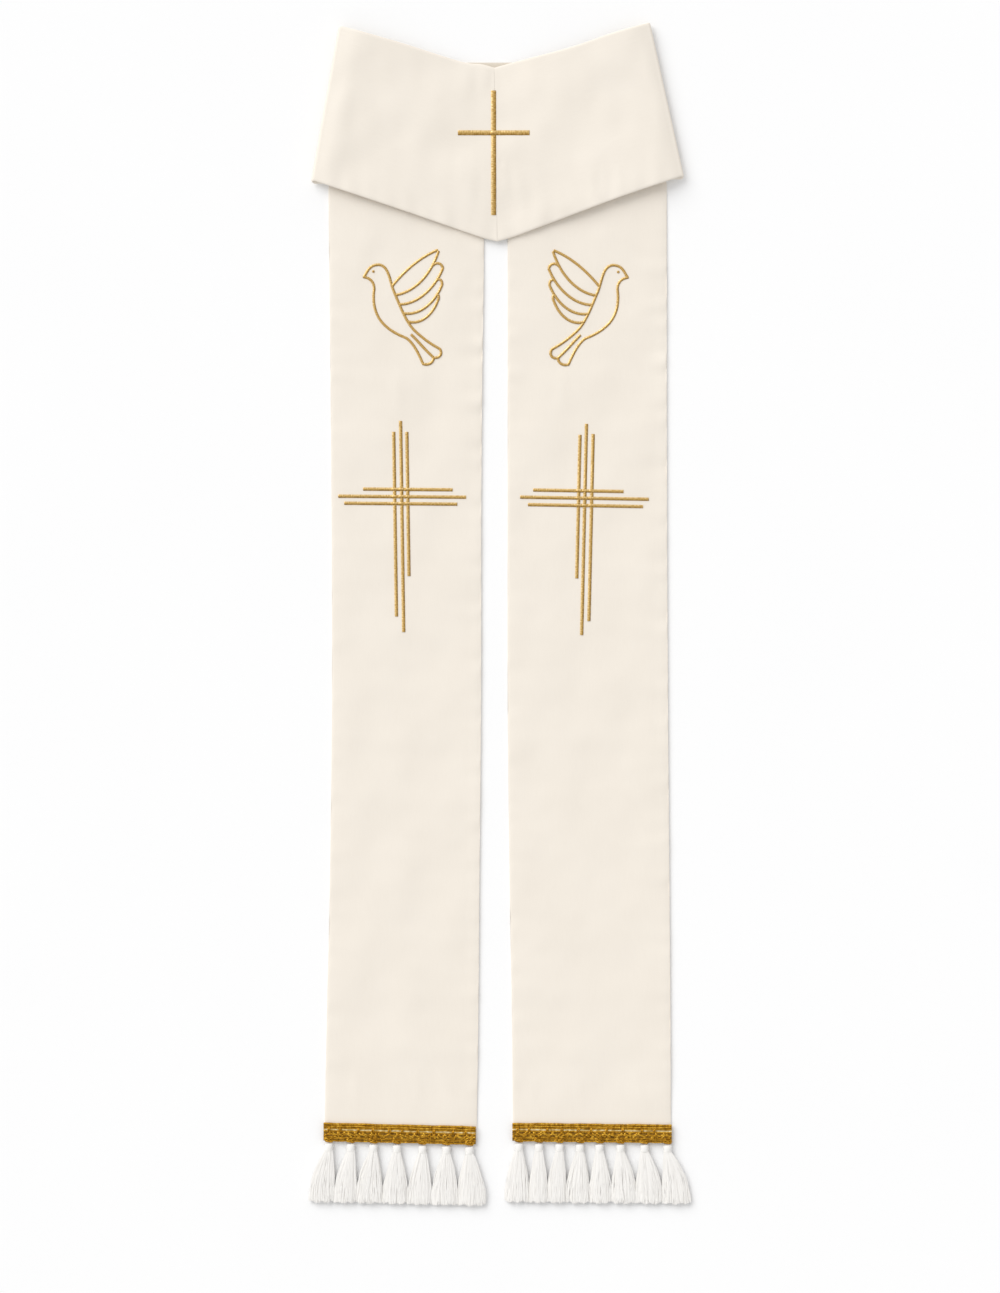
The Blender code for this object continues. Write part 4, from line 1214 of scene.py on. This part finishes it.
def make_braid(side, draw):
    """Straight cords, chain loops, slot bars, arcs and feet of twisted cord, with a backing
    of flat threads in a darker gold, painted shade for the hollows between the cords, and
    pale floats as pieces of their own."""
    ends_x, ends_y = BRAIDS[side]
    first, last = ends_x
    parts = []

    def lie(x, depth, height):
        """Points of the braid from x, depth below its upper edge and height over its back."""
        y = np.interp(x, ends_x, ends_y) - depth
        return np.column_stack(np.broadcast_arrays(x, y, BRAID_BACK + height))

    def cord(x, depth, height, radius, shape=THIN_CORD):
        """Add one twisted cord that follows such points."""
        parts.append(twisted_cord(lie(x, depth, height), radius, shape))

    def flat_thread(depth, reach, height):
        """A long oval band of threads: half its width, and its height over the backing."""
        angle = circle_angles(FLAT_SIDES)
        low, up = depth + reach * np.cos(angle), height / 2 * (1 + np.sin(angle))
        rings = np.stack([lie(x, *place) for place in zip(low, up)], axis=1)
        return rings, stacked(2 * angle[None], x[:, None])

    x = np.linspace(first + CORD_INSET, last - CORD_INSET, 320)
    for place, (depth, radius, height, drift) in enumerate(BRAID_CORDS):
        low = depth + wander(x, drift, 1.3 * place + first)
        cord(x, low, height + wander(x, 0.12, 2.2 * place), radius, THICK_CORD)

    for phase in (0.0, math.pi):
        t = np.linspace(first + CHAIN_INSET, last - CHAIN_INSET, 900)
        turn = 2 * math.pi * t / CHAIN_LENGTH + phase + wander(t, 1.5, 4 + phase)
        low = CHAIN_MIDDLE + (CHAIN_REACH + wander(t, 0.8, phase)) * np.sin(turn)
        up = CHAIN_RADIUS + CHAIN_LIFT + CHAIN_WAVE * np.cos(turn)
        cord(t + CHAIN_SWING * np.sin(2 * turn), low, up, CHAIN_RADIUS, CHAIN_CORD)

    bars = np.arange(first + 4.0, last - 2.0, SLOT_LENGTH)
    t = np.linspace(0, 1, 12)
    low, up = SLOT_SPAN[0] + SLOT_SPAN[1] * t, 1.0 + 1.5 * np.sin(math.pi * t)
    for bar in bars + draw.uniform(-SLOT_SPREAD, SLOT_SPREAD, len(bars)):
        for shift in SLOT_BARS:
            across = bar + shift + draw.uniform(-UNEVEN, UNEVEN)
            cord(across + SLOT_LEAN * (t - 0.5) * np.sign(shift), low, up, SLOT_CORD)

    heads = np.array([row[0] for row in TASSELS[side]])
    for here, after in zip(heads[:-1], heads[1:]):
        t = np.linspace(0, 1, 30)
        arc, arc_x = np.sin(math.pi * t), here + (after - here) * t
        for depth, radius, sag in BRAID_ARCS:
            low = depth + sag * arc + wander(arc_x, 0.15, here)
            cord(arc_x, low, radius + 0.2 + 0.4 * arc, radius)
        t = np.linspace(0, 1, 8)
        for share in STITCH_SHARES:
            stitch_x = here + (after - here) * (share + draw.uniform(-0.05, 0.05))
            low = STITCH_SPAN[0] + STITCH_SPAN[1] * t
            stitch_x = stitch_x + STITCH_LEAN * (t - 0.5)
            cord(stitch_x, low, 1.0 + 0.5 * t, STITCH_CORD, FINE_CORD)

    reach, crossing, lean, radius = FOOT_CROSSING
    for centre in np.clip(heads, first + FOOT_INSET, last - FOOT_INSET):
        turn = np.linspace(0, 2 * math.pi, 60)
        for depth, wide, high, height in FOOT_LOOPS:
            loop_x = centre + draw.uniform(-UNEVEN, UNEVEN) + wide * np.cos(turn)
            low = depth + high * np.sin(turn) + 0.2 * np.cos(turn)
            cord(loop_x, low, height + 0.35 * np.sin(2 * turn), FOOT_CORD)
        t = np.linspace(-1, 1, 16)
        for sign in (-1, 1):
            up = 2.1 + 0.4 * np.cos(t * math.pi / 2) + 0.3 * sign
            across = centre + reach * t + draw.uniform(-UNEVEN, UNEVEN)
            cord(across, crossing + sign * lean * t, up, radius)

    tubes = {
        "cords": (parts, gold_braid),
        "backing": ([flat_thread(*row) for row in BACKING], backing_in_painted_shade),
        "floats": ([flat_thread(*row) for row in FLOATS], float_thread),
    }
    name = f"{side}_braid"
    return [add_tubes(f"{name}_{part}", name, "gold_braid", *tubes[part]) for part in tubes]


braids = {side: make_braid(side, np.random.default_rng(31)) for side in BRAIDS}


# The tassels: hanks of fine white yarn, doubled over at the foot of the braid and bound
# below a short head. The yarns fan out in a flat bell that lies on the floor.

TASSEL_MIDDLE = 4.0
TASSEL_LENGTH = 59.6
TASSEL_SKIRT_TOP = 6.6
YARNS = 270
YARN_RINGS = 11
YARN_RADIUS = 0.5
YARN_LAYERS = 4.8
YARN_HEAP = 0.35
YARN_TURN = 0.12
YARN_WAVE = 0.8
TUFTS = 0.8
YARN_FLOOR = 0.85
HEAD_RIDGES = 17
HEAD_RIDGE = 0.045
WINDING_RIDGE = 0.05
CORE_RIDGE = 0.05
WINDING = 0.66
SKIRT_FAN = 0.94
SKIRT_RISE = 1.95
SETTLE = 0.6
CORE_END_Z = 2.9
CORE_END_HALF = 2.0
CORE_RINGS = 26
CORE_RIBS = 36
CORE_ROOT = (3.4, 2.3)
CORE_INSET = 1.6

# Down a head: depth below its top, half width, half height
HEAD_PROFILE = (
    (0.0, 0.8, 0.6),
    (0.4, 3.3, 2.1),
    (1.5, 4.1, 2.7),
    (3.0, 4.2, 2.9),
    (4.4, 4.2, 2.9),
    (5.4, 4.0, 2.8),
    (6.4, 4.1, 2.7),
    (7.4, 4.3, 2.6),
)
BOUND_DEPTH = 4.8


def yarn_material():
    """White yarn: each strand has its own tone, and fine slanting lines for its twist."""
    material, shader = new_material("white tassel yarn", (0.9, 0.88, 0.84), 0.68, 0)
    shader.inputs["Sheen Weight"].default_value = 0.5
    shader.inputs["Specular IOR Level"].default_value = 0.3
    tree = material.node_tree
    thread = group_outputs(tree, thread_group, Threads=0.5, Length=3.0)
    colour = mix_colours(tree, thread["Tone"], (0.96, 0.94, 0.908), (0.9, 0.878, 0.845))
    wear, height = thread["Wear"], thread["Height"]
    link_surface(tree, shader, colour, wear, 0.2, 0.68, height, 0.4, 0.00008)
    return material


tassel_yarn = yarn_material()


def tassel_head(head_x, y_top):
    """Short head: an oval of changing size down its length, with lengthways ridges at its
    top and rings of winding below them."""
    table = np.array(HEAD_PROFILE)
    wound = np.arange(BOUND_DEPTH + 0.15, table[-1, 0], WINDING / 4)
    depth = np.concatenate([np.linspace(0, BOUND_DEPTH, 14), wound])
    wide, high = (smooth_column(depth, table[:, 0], table[:, i])[:, None] for i in (1, 2))
    depth = depth[:, None]
    angle = circle_angles(2 * HEAD_RIDGES)[None]
    bound = np.clip((depth - BOUND_DEPTH) / 0.4, 0, 1)
    ridge = HEAD_RIDGE * np.cos(HEAD_RIDGES * angle) * (1 - bound)
    wound = WINDING_RIDGE * np.cos(2 * math.pi * depth / WINDING + angle) * bound
    swell = 1 + ridge + wound
    x = head_x + wide * swell * np.cos(angle)
    z = TASSEL_MIDDLE + high * swell * np.sin(angle)
    return stacked(x, y_top - depth, z), stacked(angle * 2, depth)


def skirt_fan(t):
    """Share of the skirt's full spread at a share of its length: fast first, then slower."""
    return SKIRT_FAN * (1 - (1 - t) ** SKIRT_RISE) + (1 - SKIRT_FAN) * t


def tassel_core(head_x, y_top, corners):
    """The inner yarns as one ribbed body: an oval whose width follows the skirt's fan, which
    flattens on its way down and closes at its end."""
    t = np.linspace(0.02, 1, CORE_RINGS)[:, None]
    fan, settled = skirt_fan(t), t**SETTLE
    middle, half = sum(corners) / 2, (corners[1] - corners[0]) / 2
    root_wide, root_high = CORE_ROOT
    close = np.sqrt(np.clip(1 - ((t - 0.9) / 0.101), 0, 1))
    angle = circle_angles(2 * CORE_RIBS)[None]
    rib = 1 + CORE_RIDGE * np.cos(CORE_RIBS * angle)
    wide = (root_wide + (half - CORE_INSET - root_wide) * fan) * rib
    high = (root_high + (CORE_END_HALF - root_high) * settled) * rib * close
    x = head_x + (middle - head_x) * fan + wide * np.cos(angle)
    y = y_top - TASSEL_SKIRT_TOP - (TASSEL_LENGTH - 9.0) * t
    z = TASSEL_MIDDLE + (CORE_END_Z - TASSEL_MIDDLE) * settled + high * np.sin(angle)
    return stacked(x, y, z), stacked(5 * angle, 60 * t)


def tassel_yarns(head_x, y_top, corners, draw):
    """Yarns as thin three-sided tubes, one array for them all. Each leaves the binding at a
    place in an oval, fans out to its own place in the flat bell and waves a little."""
    across = draw.uniform(-1, 1, YARNS)
    layer = draw.uniform(0, 1, YARNS) ** 0.75
    middle, half = sum(corners) / 2, (corners[1] - corners[0]) / 2
    root_x = head_x + 3.5 * across
    root_z = TASSEL_MIDDLE + CORE_ROOT[1] * (2 * layer - 1) * np.sqrt(1 - 0.6 * across**2)
    low_x = middle + (half + 0.4) * across + draw.uniform(-0.9, 0.9, YARNS)
    low_z = YARN_FLOOR + YARN_LAYERS * layer**YARN_HEAP * np.sqrt(1 - 0.72 * across**2)
    length = TASSEL_LENGTH - np.abs(draw.normal(0, 1.2, YARNS)) - 0.8 * across**2
    length -= TUFTS * (1 + np.sin(8.5 * across + draw.uniform(0, 6.3)))
    t = np.linspace(0, 1, YARN_RINGS)[:, None]
    fan = skirt_fan(t)
    phase, beats = draw.uniform(0, 2 * math.pi, (2, YARNS)), draw.uniform(0.6, 1.7, YARNS)
    x = root_x + (low_x - root_x) * fan
    x = x + YARN_WAVE * np.sin(2 * math.pi * beats * t + phase[0]) * np.sin(math.pi * t * 0.5)
    y = y_top - TASSEL_SKIRT_TOP - (length - TASSEL_SKIRT_TOP) * t
    z = root_z + (low_z - root_z) * t**SETTLE + 0.5 * layer * np.sin(math.pi * t)
    z = np.maximum(z + 0.15 * np.sin(2 * math.pi * beats * t + phase[1]) * t, YARN_FLOOR)
    z[0] = root_z
    radius = YARN_RADIUS * np.interp(t[:, 0], (0, 0.1, 0.9, 1), (0.7, 1, 1, 0.75))
    turned = YARN_TURN * draw.standard_normal(YARNS)[None, :, None]
    angle = np.array([-math.pi / 2, math.pi / 6, math.pi * 5 / 6]) + turned
    spoke = radius[:, None, None] * np.stack([np.cos(angle), 0 * angle, np.sin(angle)])[:, None]
    points = (np.stack([x, y, z])[..., None] + spoke[:, 0]).transpose(2, 1, 3, 0)
    tone = np.broadcast_to((np.arange(YARNS) * 7.3)[:, None, None], points.shape[:3])
    along = np.broadcast_to((t[:, 0] * length[0])[None, :, None], points.shape[:3])
    lay = np.stack([tone + 0.1 * np.arange(3), along], axis=-1)
    side, ends = tube_faces(YARN_RINGS, 3)
    first = (np.arange(YARNS) * YARN_RINGS * 3)[:, None, None]
    return points.reshape(-1, 3), lay.reshape(-1, 2), side + first, ends + first


def make_tassel(side, place):
    """One tassel: its head, its core and its yarns as one piece."""
    head_x, *corners = TASSELS[side][place]
    y_top = np.interp(head_x, *BRAIDS[side]) - BRAID_WIDTH - FOOT_LENGTH - SEAM_GAP
    draw = np.random.default_rng(101 + place + 20 * (side == "right"))
    bodies = [tassel_head(head_x, y_top), tassel_core(head_x, y_top, corners)]
    body, body_lay, body_faces = join_tubes(bodies)
    yarns, yarn_lay, yarn_side, yarn_ends = tassel_yarns(head_x, y_top, corners, draw)
    count = len(body)
    quads = np.concatenate([body_faces[0], yarn_side.reshape(-1, 4) + count])
    faces = [quads, *body_faces[1:], yarn_ends.reshape(-1, 3) + count]
    points, lay = np.concatenate([body, yarns]), np.concatenate([body_lay, yarn_lay])
    node = f"{side}_tassel_{place + 1}"
    yarn = (points, faces, lay, tassel_yarn)
    return add_piece(f"{node}_yarn", node, "tassel_yarn", *yarn, flat_from=count)


tassels = {side: [make_tassel(side, i) for i in range(len(TASSELS[side]))] for side in TASSELS}


# The floor under the stole: a plain pale sheet of matt card, far larger than the view. It
# is no part of the stole, which only rests on it.

FLOOR_HALF = 4000.0

floor_card, floor_shader = new_material("pale floor", (0.95, 0.95, 0.95), 0.9, 0)
floor_shader.inputs["Specular IOR Level"].default_value = 0.1
floor_tree = floor_card.node_tree
floor_place = floor_tree.nodes.new("ShaderNodeTexCoord")
floor_grain = noise_node(floor_tree, floor_place.outputs["Object"], 5, 2)
floor_colour = mix_colours(floor_tree, floor_grain, (0.982, 0.982, 0.982), (0.97, 0.97, 0.972))
floor_tree.links.new(floor_colour, floor_shader.inputs["Base Color"])
floor_corners = FLOOR_HALF * np.array([(-1, -1, 0), (1, -1, 0), (1, 1, 0), (-1, 1, 0)])
floor_mesh = bpy.data.meshes.new("floor")
floor_mesh.from_pydata((floor_corners * MM).tolist(), [], [(0, 1, 2, 3)])
floor_mesh.materials.append(floor_card)
floor = add_object("floor", floor_mesh)


# Light and camera: soft even light from all round, one broad soft lamp from the upper left
# and a camera straight above, so far off that one pixel is a millimetre on the floor.

FILL_STRENGTH = 0.69
KEY_STRENGTH = 1.74
KEY_ANGLE = 45.0
KEY_HEIGHT = 36.0
KEY_TURN = 133.0
LENS = 180.0
SENSOR = 36.0
PICTURE_HEIGHT = 1.293
PICTURE_CENTRE = (-0.0005, -0.032)

world = bpy.data.worlds.new("even light")
world.use_nodes = True
world.node_tree.nodes["Background"].inputs["Color"].default_value = (1, 1, 1, 1)
world.node_tree.nodes["Background"].inputs["Strength"].default_value = FILL_STRENGTH
bpy.context.scene.world = world

key_lamp = bpy.data.lights.new("broad lamp", "SUN")
key_lamp.energy = KEY_STRENGTH
key_lamp.angle = math.radians(KEY_ANGLE)
key = add_object("broad lamp", key_lamp)
key.rotation_euler = (math.radians(90 - KEY_HEIGHT), 0, math.radians(KEY_TURN + 90))

camera_data = bpy.data.cameras.new("camera")
camera_data.lens = LENS
camera_data.sensor_width = SENSOR
camera_data.clip_end = 100
camera = add_object("camera", camera_data)
camera.location = (*PICTURE_CENTRE, PICTURE_HEIGHT * LENS / SENSOR)
bpy.context.scene.camera = camera
bpy.context.scene.view_settings.view_transform = "Standard"
